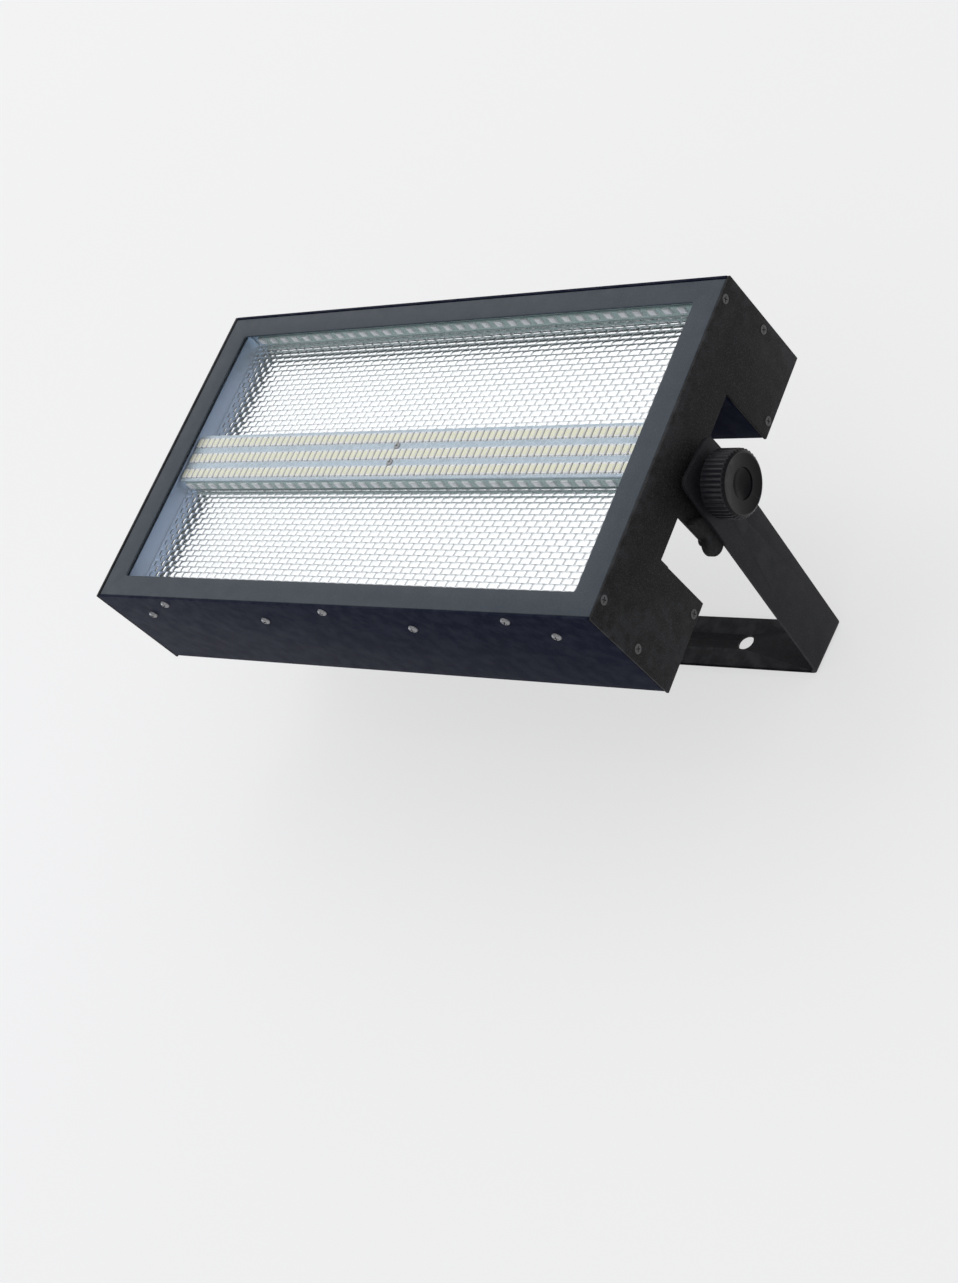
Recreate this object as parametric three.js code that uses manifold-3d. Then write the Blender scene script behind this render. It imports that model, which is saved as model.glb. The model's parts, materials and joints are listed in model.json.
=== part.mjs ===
// LED strobe light: a shallow sheet-metal head with a glazed front, hung in a flat strip yoke.
// Millimetres. +X runs along the width and +Z is up: it stands on the yoke's crossbar, window up.
// The head is drawn in its own face frame: x to the right, y to the head's top, z out of the window,
// with z = 0 on the front edge of the case. The head group then carries it to the tilt axis.
import * as THREE from 'three';
import { mergeVertices } from 'three/addons/utils/BufferGeometryUtils.js';
import Module from 'manifold-3d';

const wasm = await Module();
wasm.setup();

// Case: two C-shaped side plates, two folded covers and the floor of the rear recess
const headWidth = 425;
const headHeight = 227;
const headDepth = 80.5;
const recessDepth = 46;
const sideSheet = 2;
const skinSheet = 1.5;
const sheetBend = 1;
const recessFlange = 10;
const tabWidth = 16;
const tabReach = 12;

// Clearances: between pieces that seat on each other, around what passes through, and past a cut
const seat = 0.3;
const passGap = 0.3;
const overrun = 5;

// Side plate's ear, which carries the tilt pivot
const earHeight = 54.3;
const earRear = 76;
const earCorner = 8;
const plateCorner = 1.5;

// Window: bezel frame, gasket and glass
const bezelRecess = 0.4;
const bezelSheet = 1.5;
const bezelFlange = 26;
const bezelBand = 17;
const bezelSideBand = 19.5;
const gasketThick = 0.7;
const gasketWidth = 5;
const glassThick = 2.5;
const glassLap = 8;

// Reflector: two hammered troughs and two plain end walls around the lamp bar
const reflectorSheet = 0.8;
const reflectorBend = 0.6;
const troughDepth = 28;
const troughPast = 5.5;
const lampPast = 4;

// Lamp bar: a folded channel, its white board and the colour strips on the walls beside it
const barHeight = 35.2;
const barSheet = 1.2;
const boardThick = 1.5;
const boardMargin = 2.4;
const whiteRows = 3;
const whitePerRow = 73;
const whitePitch = 5.35;
const whiteRowPitch = 12.2;
const whiteLong = 7;
const whiteWide = 4;
const whiteTall = 0.8;
const whiteFaceDepth = 6.3;
const colourPerStrip = 35;
const colourPitch = 11.02;
const colourSize = 5;
const colourTall = 1.4;
const stripThick = 1;
const stripWidth = 8.6;
const stripDepth = 11.2;

// Heat sink behind the lamp bar
const sinkBase = 3.6;
const sinkMargin = 5.5;
const sinkLength = 380;
const finCount = 13;
const finMargin = 11.6;
const finThick = 1.8;
const finLength = 32;
const finRun = 300;
const finGap = 0.9;

// Yoke: flat strip folded to a U
const stripTall = 36.7;
const stripSheet = 2.5;
const yokeGap = 5.3;
const armHeight = 153.8;
const armNose = 21.6;
const armCorner = 6;
const yokeBend = 2;
const clampHole = 13;
const sideHole = 11;
const sideHolePlace = 159.2;

// Tilt pivot and its clamp knobs
const pivotDepth = 42.5;
const restTilt = 6.9;
const studRadius = 4;
const nutFlats = 13;
const nutLength = 8;
const nutSides = 6;
const studPoke = 2;
const frictionRadius = 14;
const washerRadius = 11;
const washerThick = 1.2;
const knobRadius = 19.3;
const knobHubRadius = 12.5;
const knobHub = 4.2;
const knobGrip = 13.1;
const knobCrown = 0.8;
const knobShoulder = 0.8;
const knobRibs = 46;
const ribDeep = 0.9;
const faceRing = 1.2;
const faceDish = 0.5;
const dimpleRadius = 9.9;
const dimpleDeep = 4.2;
const studGrip = 10;

// Rubber buffer pressed into the ear's lower rear corner
const bufferDepth = 66;
const bufferDrop = 23.4;
const bufferRadius = 6.2;
const bufferNeck = 2.2;
const bufferInner = 4;

// Cooling fans in the upper half
const fanSize = 50;
const fanDeep = 15;
const fanPlace = 145;
const fanHubRadius = 11.5;
const fanBladeGap = 0.8;
const fanWall = 1.9;
const fanBlades = 7;
const fanBladeThick = 1.2;
const fanBladeChord = 13;
const fanBladePitch = 38;
const fanBowShare = 0.2;
const fanRotorDeep = 10;
const fanPlate = 2;
const fanArm = 3;
const fanScrewHole = 4;
const fanScrewInset = 5;
const fanMargin = 2.5;
const guardWire = 1.3;
const guardRings = 3;
const guardTab = 3.4;

// Control panel in the upper half: display, four keys and the board behind them
const displayWidth = 66;
const displayHeight = 26;
const displayRim = 4;
const displayDeep = 7;
const displayPlace = -24;
const displayGlass = 1.2;
const keyCount = 4;
const keyPitch = 13.5;
const keyRadius = 4.2;
const keyPlace = 32;
const keyProud = 2.2;
const keyStem = 6;
const keyFlange = 1.2;
const keyTravel = 1;
const controlHeight = 34;
const controlBoard = 1.6;
const controlPost = 2.6;
const switchSize = 6;

// Sockets and fuse in the lower half
const socketWidth = 26;
const socketHeight = 31;
const socketCorner = 3;
const socketFlange = 2;
const socketBody = 11.8;
const socketDeep = 22;
const socketBore = 9.6;
const socketBoreDeep = 14;
const powerInPlace = -165;
const powerOutPlace = -125;
const dataInPlace = 125;
const dataOutPlace = 165;
const contactSlotLong = 4.6;
const contactSlotWide = 1.6;
const contactSlotDeep = 3;
const contactCircle = 5.4;
const pinCount = 3;
const pinRadius = 1.2;
const pinCircle = 4.2;
const pinLong = 8;
const insertGap = 1.2;
const latchWide = 8;
const latchTall = 4.4;
const latchProud = 1.4;
const latchTravel = 0.9;
const latchStop = 1.8;
const fusePlace = -90;
const fuseBody = 6.6;
const fuseDeep = 24;
const fuseCollar = 8.4;
const fuseCollarThick = 2;
const fuseCapRadius = 6;
const fusePlug = 5;
const fuseCapTall = 6;
const fuseCapRibs = 12;
const fuseSlotWide = 1.4;
const fuseSlotDeep = 1.2;

// Vent slots in the rear faces
const slotLong = 30;
const slotWide = 3.2;
const slotPitch = 8;
const lowerSlots = 9;
const upperSlots = 4;
const upperSlotPlace = 92;

// Power supply and lamp driver inside the two halves
const supplyLength = 150;
const supplyTall = 40;
const supplyDeep = 40;
const supplyPlace = 12;
const supplyFoot = 2;
const supplyWall = 1.2;
const terminalLong = 14;
const terminalTall = 12;
const driverLength = 196;
const driverWide = 27;
const driverThick = 1.6;
const driverPost = 4;
const postRadius = 3;
const driverFront = 34;
const canRadius = 9;
const canTall = 24;
const canCount = 4;
const canPitch = 23;
const coilSize = 19;
const coilTall = 16;
const coilCount = 3;
const coilPitch = 26;
const partEmbed = 0.5;

// How finely round forms are cut
const boreSides = 12;
const fineSides = 18;
const plainSides = 8;
const smallSides = 6;
const bendSteps = 2;

// Places that follow from the sizes above
const halfWidth = headWidth / 2;
const halfHeight = headHeight / 2;
const rearFace = -headDepth;
const recessFace = rearFace + recessDepth;
const rearHalf = fanSize + 2 * (skinSheet + fanMargin);
const recessHalf = halfHeight - rearHalf;
const skinInside = halfHeight - skinSheet;
const rearInside = rearFace + skinSheet;
const sideInside = halfWidth - sideSheet;
const halfCentre = (halfHeight + recessHalf) / 2;
const fanScrewPlace = fanSize / 2 - fanScrewInset;
const windowHalfWidth = halfWidth - bezelSideBand;
const windowHalfHeight = halfHeight - bezelBand;
const troughReach = windowHalfHeight + troughPast;
const lampHalfLength = windowHalfWidth + lampPast;
const bezelFront = -bezelRecess;
const bezelHalfWidth = sideInside - seat;
const bezelHalfHeight = skinInside - seat;
const bezelBack = bezelFront - bezelSheet;
const bezelEnd = bezelFront - bezelFlange;
const gasketFront = bezelBack - seat / 2;
const glassFront = gasketFront - gasketThick - seat / 2;
const glassBack = glassFront - glassThick;
const glassHalfWidth = windowHalfWidth + glassLap;
const glassHalfHeight = windowHalfHeight + glassLap;
const lipFront = glassBack - seat;
const troughFloor = -troughDepth;
const boardFront = -whiteFaceDepth - whiteTall;
const boardBack = boardFront - boardThick;
const barFront = boardBack - seat;
const barHalf = barHeight / 2;
const troughBack = troughFloor - reflectorSheet;
const sinkFront = troughBack - seat;
const sinkBack = sinkFront - sinkBase;
const sinkHalf = recessHalf - sinkMargin;
const finPitch = (2 * (sinkHalf - finMargin)) / (finCount - 1);
const armInside = halfWidth + yokeGap;
const armOutside = armInside + stripSheet;
const stripHalf = stripTall / 2;
const pivotBore = studRadius + passGap;

const xAxis = new THREE.Vector3(1, 0, 0);
const yAxis = new THREE.Vector3(0, 1, 0);
const zAxis = new THREE.Vector3(0, 0, 1);
const drawnAlong = {
  x: new THREE.Matrix4().makeBasis(yAxis, zAxis, xAxis), // shape drawn in (y, z)
  y: new THREE.Matrix4().makeBasis(xAxis, zAxis, yAxis.clone().negate()), // shape drawn in (x, z)
  z: new THREE.Matrix4(), // shape drawn in (x, y)
};

const finishes = {
  blackPaint: { color: 0x24262a, roughness: 0.55, metalness: 0.25 },
  bezelPaint: { color: 0x4b525a, roughness: 0.5, metalness: 0.25 },
  blackPlastic: { color: 0x17181a, roughness: 0.5, metalness: 0 },
  rubber: { color: 0x111112, roughness: 0.9, metalness: 0 },
  steel: { color: 0xb9bcc0, roughness: 0.35, metalness: 0.9 },
  mirror: { color: 0xe4e8ec, roughness: 0.15, metalness: 1 },
  glass: { color: 0xe8f2f4, roughness: 0.05, metalness: 0, transparent: true, opacity: 0.25 },
  aluminium: { color: 0x9fa4a9, roughness: 0.45, metalness: 0.8 },
  whiteLed: { color: 0xefe6bd, roughness: 0.5, metalness: 0 },
  colourLed: { color: 0xdfe8e6, roughness: 0.45, metalness: 0 },
  greenBoard: { color: 0x1d5a3a, roughness: 0.6, metalness: 0 },
  greyPlastic: { color: 0x6d7277, roughness: 0.55, metalness: 0 },
  bluePlastic: { color: 0x24548f, roughness: 0.5, metalness: 0 },
  screen: { color: 0x10263a, roughness: 0.12, metalness: 0 },
};

// A closed geometry as a solid for boolean work
function solidOf(geometry) {
  const bare = geometry.clone();
  bare.deleteAttribute('normal');
  bare.deleteAttribute('uv');
  const welded = mergeVertices(bare);
  const vertProperties = welded.attributes.position.array;
  const triVerts = new Uint32Array(welded.index.array);
  return new wasm.Manifold(new wasm.Mesh({ numProp: 3, vertProperties, triVerts }));
}

function extrude(shape, axis, from, to, curveSegments = 1) {
  const settings = { depth: to - from, bevelEnabled: false, curveSegments };
  const geometry = new THREE.ExtrudeGeometry(shape, settings).applyMatrix4(drawnAlong[axis]);
  const start = axis === 'y' ? to : from;
  const shift = { x: xAxis, y: yAxis, z: zAxis }[axis].clone().multiplyScalar(start);
  return solidOf(geometry.translate(shift.x, shift.y, shift.z));
}

function block(x0, x1, y0, y1, z0, z1) {
  const box = new THREE.BoxGeometry(x1 - x0, y1 - y0, z1 - z0);
  return solidOf(box.translate((x0 + x1) / 2, (y0 + y1) / 2, (z0 + z1) / 2));
}

// A regular polygon, which stands for a circle when it has many sides
function circle(radius, a = 0, b = 0, sides = boreSides, turn = 0) {
  const corner = (k) => (2 * Math.PI * k) / sides + turn;
  const points = Array.from({ length: sides }, (_, k) => {
    return new THREE.Vector2(a + radius * Math.cos(corner(k)), b + radius * Math.sin(corner(k)));
  });
  return new THREE.Shape(points);
}

function rod(axis, radius, from, to, a = 0, b = 0, sides = boreSides) {
  return extrude(circle(radius, a, b, sides), axis, from, to);
}

function roundedRectangle(width, height, radius, a = 0, b = 0) {
  const [w, h] = [width / 2 - radius, height / 2 - radius];
  const quarter = Math.PI / 2;
  const shape = new THREE.Shape();
  shape.absarc(a + w, b + h, radius, 0, quarter);
  shape.absarc(a - w, b + h, radius, quarter, 2 * quarter);
  shape.absarc(a - w, b - h, radius, 2 * quarter, 3 * quarter);
  shape.absarc(a + w, b - h, radius, 3 * quarter, 4 * quarter);
  return shape;
}

// The corner of a polyline at point, rounded by an arc of the given radius
function roundedCorner(before, point, after, radius) {
  const back = before.clone().sub(point).normalize();
  const on = after.clone().sub(point).normalize();
  const half = Math.acos(THREE.MathUtils.clamp(back.dot(on), -1, 1)) / 2;
  const centre = back.clone().add(on).normalize().multiplyScalar(radius / Math.sin(half)).add(point);
  const first = back.clone().multiplyScalar(radius / Math.tan(half)).add(point).sub(centre);
  const last = on.clone().multiplyScalar(radius / Math.tan(half)).add(point).sub(centre);
  const sweep = Math.atan2(first.cross(last), first.dot(last));
  return Array.from({ length: bendSteps + 1 }, (_, k) => {
    const turned = first.clone().rotateAround(new THREE.Vector2(), (sweep * k) / bendSteps);
    return turned.add(centre);
  });
}

// Section of a folded sheet: path runs along one face, and the sheet lies to the left of it
function foldedSheet(path, thickness, bend) {
  const line = path.map(([a, b]) => new THREE.Vector2(a, b));
  const last = line.length - 1;
  const leftOf = (p, q) => {
    const d = q.clone().sub(p).normalize();
    return new THREE.Vector2(-d.y, d.x);
  };
  const inner = line.map((p, k) => {
    const before = leftOf(line[Math.max(k - 1, 0)], line[Math.max(k, 1)]);
    const after = leftOf(line[Math.min(k, last - 1)], line[Math.min(k + 1, last)]);
    const mitre = before.clone().add(after).normalize();
    return mitre.multiplyScalar(thickness / mitre.dot(after)).add(p);
  });
  const turnsLeft = (k) => {
    const on = line[k].clone().sub(line[k - 1]);
    return on.cross(line[k + 1].clone().sub(line[k])) > 0;
  };
  const rounded = (side, outerIsLeft) => side.flatMap((p, k) => {
    if (k === 0 || k === last) return [p];
    const radius = bend + (turnsLeft(k) === outerIsLeft ? thickness : 0);
    return roundedCorner(side[k - 1], p, side[k + 1], radius);
  });
  return new THREE.Shape([...rounded(line, true), ...rounded(inner, false).reverse()]);
}

function revolve(profile, axis, sides = fineSides) {
  const points = profile.map(([radius, along]) => new THREE.Vector2(radius, along));
  const turned = new THREE.LatheGeometry(points, sides);
  const upright = { x: [zAxis, xAxis, yAxis], z: [xAxis, zAxis, yAxis.clone().negate()] }[axis];
  return solidOf(turned.applyMatrix4(new THREE.Matrix4().makeBasis(...upright)));
}

function joined(parts) {
  return parts.reduce((whole, part) => whole.add(part));
}

function cutFrom(body, tools) {
  return tools.reduce((rest, tool) => rest.subtract(tool), body);
}

// The same solid on the other side of the middle plane x = 0, or of y = 0
const mirrored = {
  x: (solid) => solid.mirror([1, 0, 0]),
  y: (solid) => solid.mirror([0, 1, 0]),
};

function addPiece(group, name, solid, finish) {
  const { vertProperties, triVerts } = solid.getMesh();
  const geometry = new THREE.BufferGeometry();
  geometry.setAttribute('position', new THREE.BufferAttribute(new Float32Array(vertProperties), 3));
  geometry.setIndex(new THREE.BufferAttribute(new Uint32Array(triVerts), 1));
  const flat = geometry.toNonIndexed();
  flat.computeVertexNormals();
  const mesh = new THREE.Mesh(flat, new THREE.MeshStandardMaterial(finishes[finish]));
  mesh.name = name;
  group.add(mesh);
}

// Yoke, drawn in the object's own frame: the crossbar's outer face lies on z = 0
function yokeSolid() {
  const top = armHeight + armNose;
  const path = [[-armOutside, top], [-armOutside, 0], [armOutside, 0], [armOutside, top]];
  const folded = extrude(foldedSheet(path, stripSheet, yokeBend), 'y', -stripHalf, stripHalf);
  const outline = roundedRectangle(stripTall, 2 * top, armCorner);
  const trimmed = folded.intersect(extrude(outline, 'x', -armOutside, armOutside, bendSteps));
  const holes = [
    rod('z', clampHole / 2, -overrun, overrun, 0, 0, fineSides),
    rod('z', sideHole / 2, -overrun, overrun, sideHolePlace, 0),
    rod('z', sideHole / 2, -overrun, overrun, -sideHolePlace, 0),
    rod('x', pivotBore, -armOutside - overrun, armOutside + overrun, 0, armHeight),
  ];
  return cutFrom(trimmed, holes);
}

// Right side plate: a C with the pivot ear inside its rear notch
function sidePlateSolid() {
  const outline = new THREE.Shape([
    [-halfHeight, 0], [-halfHeight, rearFace], [-recessHalf, rearFace], [-recessHalf, recessFace],
    [recessHalf, recessFace], [recessHalf, rearFace], [halfHeight, rearFace], [halfHeight, 0],
  ].map(([y, z]) => new THREE.Vector2(y, z)));
  const earMiddle = (recessFace - earRear) / 2;
  const earLong = recessFace + earRear;
  const ear = roundedRectangle(earHeight, earLong + 2 * earCorner, earCorner, 0, earMiddle + earCorner);
  const plate = extrude(outline, 'x', sideInside, halfWidth);
  const holes = [
    rod('x', pivotBore, sideInside - overrun, halfWidth + overrun, 0, -pivotDepth),
    rod('x', bufferNeck + passGap, sideInside - overrun, halfWidth + overrun, -bufferDrop, -bufferDepth),
  ];
  return cutFrom(plate.add(extrude(ear, 'x', sideInside, halfWidth, bendSteps)), holes);
}

// Upper cover before its cut-outs: front edge, top, rear face and the wall of the recess
function coverShell() {
  const path = [
    [recessHalf, recessFace + skinSheet], [recessHalf, rearFace],
    [halfHeight, rearFace], [halfHeight, 0],
  ];
  const inner = sideInside - seat;
  const shell = extrude(foldedSheet(path, skinSheet, sheetBend), 'x', -inner, inner);
  const topTab = (x) => block(
    x, x + skinSheet, skinInside - tabReach, skinInside + skinSheet / 2,
    -pivotDepth - tabWidth / 2, -pivotDepth + tabWidth / 2,
  );
  const rearTab = (x) => block(
    x, x + skinSheet, recessHalf + skinSheet / 2, recessHalf + tabReach,
    rearInside - skinSheet / 2, rearInside + tabWidth,
  );
  const ends = [-inner, inner - skinSheet];
  return joined([shell, ...ends.map(topTab), ...ends.map(rearTab)]);
}

// A vent slot with bevelled ends, upright at the middle of a rear face
function slotTool(x) {
  const [wide, long] = [slotWide / 2, slotLong / 2];
  const outline = [
    [0, long], [-wide, long - wide], [-wide, wide - long],
    [0, -long], [wide, wide - long], [wide, long - wide],
  ];
  const shape = new THREE.Shape(outline.map(([a, b]) => new THREE.Vector2(x + a, halfCentre + b)));
  return extrude(shape, 'z', rearFace - overrun, rearInside + overrun);
}

function slotRow(count, middle) {
  return rowOf(count, slotPitch).map((x) => slotTool(middle + x));
}

function rearBore(radius, x, sides = boreSides) {
  return rod('z', radius, rearFace - overrun, rearInside + overrun, x, halfCentre, sides);
}

const keyPlaces = Array.from({ length: keyCount }, (_, k) => keyPlace + k * keyPitch);

function upperCoverSolid() {
  const fanHole = fanSize / 2 - fanWall;
  const display = roundedRectangle(
    displayWidth + 2 * passGap, displayHeight + 2 * passGap, displayRim / 2, displayPlace, halfCentre,
  );
  return cutFrom(coverShell(), [
    rearBore(fanHole, fanPlace, fineSides),
    rearBore(fanHole, -fanPlace, fineSides),
    extrude(display, 'z', rearFace - overrun, rearInside + overrun),
    ...keyPlaces.map((x) => rearBore(keyRadius + passGap, x)),
    ...slotRow(upperSlots, -upperSlotPlace),
  ]);
}

function lowerCoverSolid() {
  const cuts = [powerInPlace, powerOutPlace, dataInPlace, dataOutPlace].map((x) => {
    return rearBore(socketBody + passGap, x);
  });
  cuts.push(rearBore(fuseBody + passGap, fusePlace), ...slotRow(lowerSlots, supplyPlace));
  return mirrored.y(cutFrom(coverShell(), cuts));
}

// Floor of the rear recess, folded back along both walls and open over the fins
function recessPanelSolid() {
  const reach = recessHalf - seat;
  const front = recessFace + skinSheet;
  const path = [
    [-reach, recessFace - recessFlange], [-reach, front],
    [reach, front], [reach, recessFace - recessFlange],
  ];
  const section = foldedSheet(path.reverse(), skinSheet, sheetBend);
  const inner = sideInside - seat;
  const half = sinkHalf - finMargin + finThick / 2 + finGap;
  const run = finRun / 2 + finGap;
  const panel = extrude(section, 'x', -inner, inner);
  return panel.subtract(block(-run, run, -half, half, recessFace - overrun, front + overrun));
}

function bezelSolid() {
  const inner = [bezelHalfWidth - bezelSheet, bezelHalfHeight - bezelSheet];
  const whole = block(
    -bezelHalfWidth, bezelHalfWidth, -bezelHalfHeight, bezelHalfHeight, bezelEnd, bezelFront,
  );
  const hollow = block(-inner[0], inner[0], -inner[1], inner[1], bezelEnd - overrun, bezelBack);
  const opening = roundedRectangle(2 * windowHalfWidth, 2 * windowHalfHeight, plateCorner);
  return cutFrom(whole, [hollow, extrude(opening, 'z', bezelBack - overrun, bezelFront + overrun)]);
}

function gasketSolid() {
  const back = gasketFront - gasketThick;
  const outer = block(-glassHalfWidth, glassHalfWidth, -glassHalfHeight, glassHalfHeight, back, gasketFront);
  const [w, h] = [glassHalfWidth - gasketWidth, glassHalfHeight - gasketWidth];
  return outer.subtract(block(-w, w, -h, h, back - overrun, gasketFront + overrun));
}

function glassSolid() {
  const outline = roundedRectangle(2 * glassHalfWidth, 2 * glassHalfHeight, plateCorner);
  return extrude(outline, 'z', glassBack, glassFront);
}

// Upper trough: floor, outer wall, the lip under the glass and the flange along the bezel
function troughSolid() {
  const lipReach = bezelHalfHeight - bezelSheet - seat;
  const path = [
    [barHalf + seat, troughFloor], [troughReach, troughFloor], [troughReach, lipFront],
    [lipReach, lipFront], [lipReach, bezelEnd],
  ];
  const half = lampHalfLength - seat;
  const sheet = foldedSheet([...path].reverse(), reflectorSheet, reflectorBend);
  return extrude(sheet, 'x', -half, half);
}

// Right end wall of the reflector, with the same lip and flange
function endWallSolid() {
  const lipReach = bezelHalfWidth - bezelSheet - seat;
  const path = [
    [lampHalfLength, troughBack], [lampHalfLength, lipFront], [lipReach, lipFront], [lipReach, bezelEnd],
  ];
  const half = troughReach - seat;
  return extrude(foldedSheet([...path].reverse(), reflectorSheet, reflectorBend), 'y', -half, half);
}

function lampBarSolid() {
  const path = [
    [barHalf, troughFloor + seat], [barHalf, barFront], [-barHalf, barFront], [-barHalf, troughFloor + seat],
  ];
  const half = lampHalfLength - seat;
  return extrude(foldedSheet(path, barSheet, sheetBend), 'x', -half, half);
}

// Middles of a row of count pieces, spaced by pitch and centred on zero
function rowOf(count, pitch) {
  return Array.from({ length: count }, (_, k) => (k - (count - 1) / 2) * pitch);
}

function whiteBoardSolid() {
  const [columns, rows] = [rowOf(whitePerRow, whitePitch), rowOf(whiteRows, whiteRowPitch)];
  const halfLength = columns.at(-1) + boardMargin;
  const halfTall = rows.at(-1) + (whiteLong + boardMargin) / 2;
  const [halfWide, halfLong] = [whiteWide / 2, whiteLong / 2];
  const board = block(-halfLength, halfLength, -halfTall, halfTall, boardBack, boardFront);
  const chips = rows.flatMap((y) => columns.map((x) => block(
    x - halfWide, x + halfWide, y - halfLong, y + halfLong, boardFront - partEmbed, -whiteFaceDepth,
  )));
  return joined([board, ...chips]);
}

// A colour strip whose chips face +y, with the back of its board on y = 0
function colourStripSolid() {
  const places = rowOf(colourPerStrip, colourPitch);
  const half = colourSize / 2;
  const [edge, end] = [stripWidth / 2, places.at(-1) + half + boardMargin / 2];
  const board = block(-end, end, 0, stripThick, -stripDepth - edge, -stripDepth + edge);
  const chips = places.map((x) => block(
    x - half, x + half, stripThick - partEmbed, stripThick + colourTall,
    -stripDepth - half, -stripDepth + half,
  ));
  return joined([board, ...chips]);
}

// Heat sink section: pedestal inside the lamp bar, base plate and long fins to the rear
function heatSinkSolid() {
  const pedestal = barHalf - barSheet - seat;
  const pedestalTop = barFront - barSheet - seat;
  const tip = sinkBack - finLength;
  const teeth = rowOf(finCount, finPitch).flatMap((y) => {
    const [low, high] = [y - finThick / 2, y + finThick / 2];
    return [[low, sinkBack], [low, tip], [high, tip], [high, sinkBack]];
  });
  const outline = [
    [-sinkHalf, sinkBack], ...teeth, [sinkHalf, sinkBack], [sinkHalf, sinkFront], [pedestal, sinkFront],
    [pedestal, pedestalTop - sheetBend], [pedestal - sheetBend, pedestalTop],
    [sheetBend - pedestal, pedestalTop], [-pedestal, pedestalTop - sheetBend],
    [-pedestal, sinkFront], [-sinkHalf, sinkFront],
  ];
  const shape = new THREE.Shape(outline.map(([y, z]) => new THREE.Vector2(y, z)));
  const half = sinkLength / 2;
  const finEnd = (from, to) => block(from, to, -sinkHalf, sinkHalf, tip - overrun, sinkBack);
  return cutFrom(extrude(shape, 'x', -half, half), [
    finEnd(-half - overrun, -finRun / 2), finEnd(finRun / 2, half + overrun),
  ]);
}

// Pivot hardware on the right side; all of it turns about the axis (y, z) = (0, 0)
function nutSolid() {
  const radius = nutFlats / 2 / Math.cos(Math.PI / nutSides);
  const hexagon = circle(radius, 0, 0, nutSides);
  const to = sideInside - seat;
  const bore = rod('x', pivotBore, to - nutLength - overrun, to + overrun);
  return extrude(hexagon, 'x', to - nutLength, to).subtract(bore);
}

function washerSolid(radius, from, to) {
  return rod('x', radius, from, to).subtract(rod('x', pivotBore, from - overrun, to + overrun));
}

const hubStart = armOutside + seat + washerThick + seat;
const gripStart = hubStart + knobHub;
const gripEnd = gripStart + knobGrip;
const faceEnd = gripEnd + knobCrown;

// Clamp knob: ribbed grip, rounded shoulder, a raised ring and a round finger dimple in the face
function knobSolid() {
  const ribSpread = (2 * Math.PI) / knobRibs;
  const ribShares = [[0, 1], [0.5, 0]];
  const valley = knobRadius - ribDeep;
  const ribs = Array.from({ length: knobRibs }, (_, k) => k * ribSpread).flatMap((angle) => {
    return ribShares.map(([turnShare, riseShare]) => {
      const radius = valley + riseShare * ribDeep;
      const at = angle + turnShare * ribSpread;
      return new THREE.Vector2(radius * Math.cos(at), radius * Math.sin(at));
    });
  });
  const grip = extrude(new THREE.Shape(ribs), 'x', gripStart, gripEnd);
  const quarter = Math.PI / 2;
  const steps = Array.from({ length: bendSteps + 1 }, (_, k) => (quarter * k) / bendSteps);
  const crown = valley - ribDeep / 2;
  const shoulder = steps.map((a) => [
    crown - knobShoulder + knobShoulder * Math.cos(a),
    faceEnd - knobShoulder + knobShoulder * Math.sin(a),
  ]);
  const ring = crown - knobShoulder - faceRing;
  const dish = faceEnd - faceDish;
  const dimple = steps.slice(0, -1).map((a) => [
    dimpleRadius * Math.cos(a), dish - dimpleDeep * Math.sin(a),
  ]);
  const face = revolve([
    [0, gripEnd - knobShoulder], [crown, gripEnd - knobShoulder], ...shoulder,
    [ring, dish], ...dimple, [0, dish - dimpleDeep],
  ], 'x');
  const hub = rod('x', knobHubRadius, hubStart, gripStart + overrun, 0, 0, fineSides);
  const socket = rod('x', pivotBore, hubStart - overrun, gripStart + studGrip - knobHub + seat);
  return joined([grip, face, hub]).subtract(socket);
}

function studSolid() {
  const from = sideInside - seat - nutLength - studPoke;
  return rod('x', studRadius, from, gripStart + studGrip - knobHub);
}

// Buffer: two heads and a neck through the ear, drawn about its own axis along x
function bufferSolid() {
  const [inner, outer] = [sideInside - seat, halfWidth + seat];
  const outerFace = armInside - seat;
  const innerFace = inner - bufferInner;
  const crown = bufferRadius - bufferNeck / 2;
  return revolve([
    [0, innerFace], [crown, innerFace], [bufferRadius, (innerFace + inner) / 2], [bufferRadius, inner],
    [bufferNeck, inner], [bufferNeck, outer], [bufferRadius, outer],
    [bufferRadius, outerFace], [0, outerFace],
  ], 'x', plainSides);
}

// Fan parts, drawn about the fan's axis along z with the frame's rear face on z = 0
function fanFrameSolid() {
  const half = fanSize / 2;
  const bore = half - fanWall;
  const body = extrude(roundedRectangle(fanSize, fanSize, 2 * fanWall), 'z', 0, fanDeep);
  const duct = rod('z', bore, -overrun, fanDeep + overrun, 0, 0, fineSides);
  const holes = [-1, 1].flatMap((i) => [-1, 1].map((j) => {
    const [x, y] = [i * fanScrewPlace, j * fanScrewPlace];
    return rod('z', fanScrewHole / 2, -overrun, fanDeep + overrun, x, y, smallSides);
  }));
  const from = fanDeep - fanPlate;
  const spider = joined([
    rod('z', fanHubRadius, from, fanDeep),
    block(-bore - fanWall / 2, bore + fanWall / 2, -fanArm / 2, fanArm / 2, from, fanDeep),
    block(-fanArm / 2, fanArm / 2, -bore - fanWall / 2, bore + fanWall / 2, from, fanDeep),
  ]);
  return cutFrom(body, [duct, ...holes]).add(spider);
}

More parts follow.
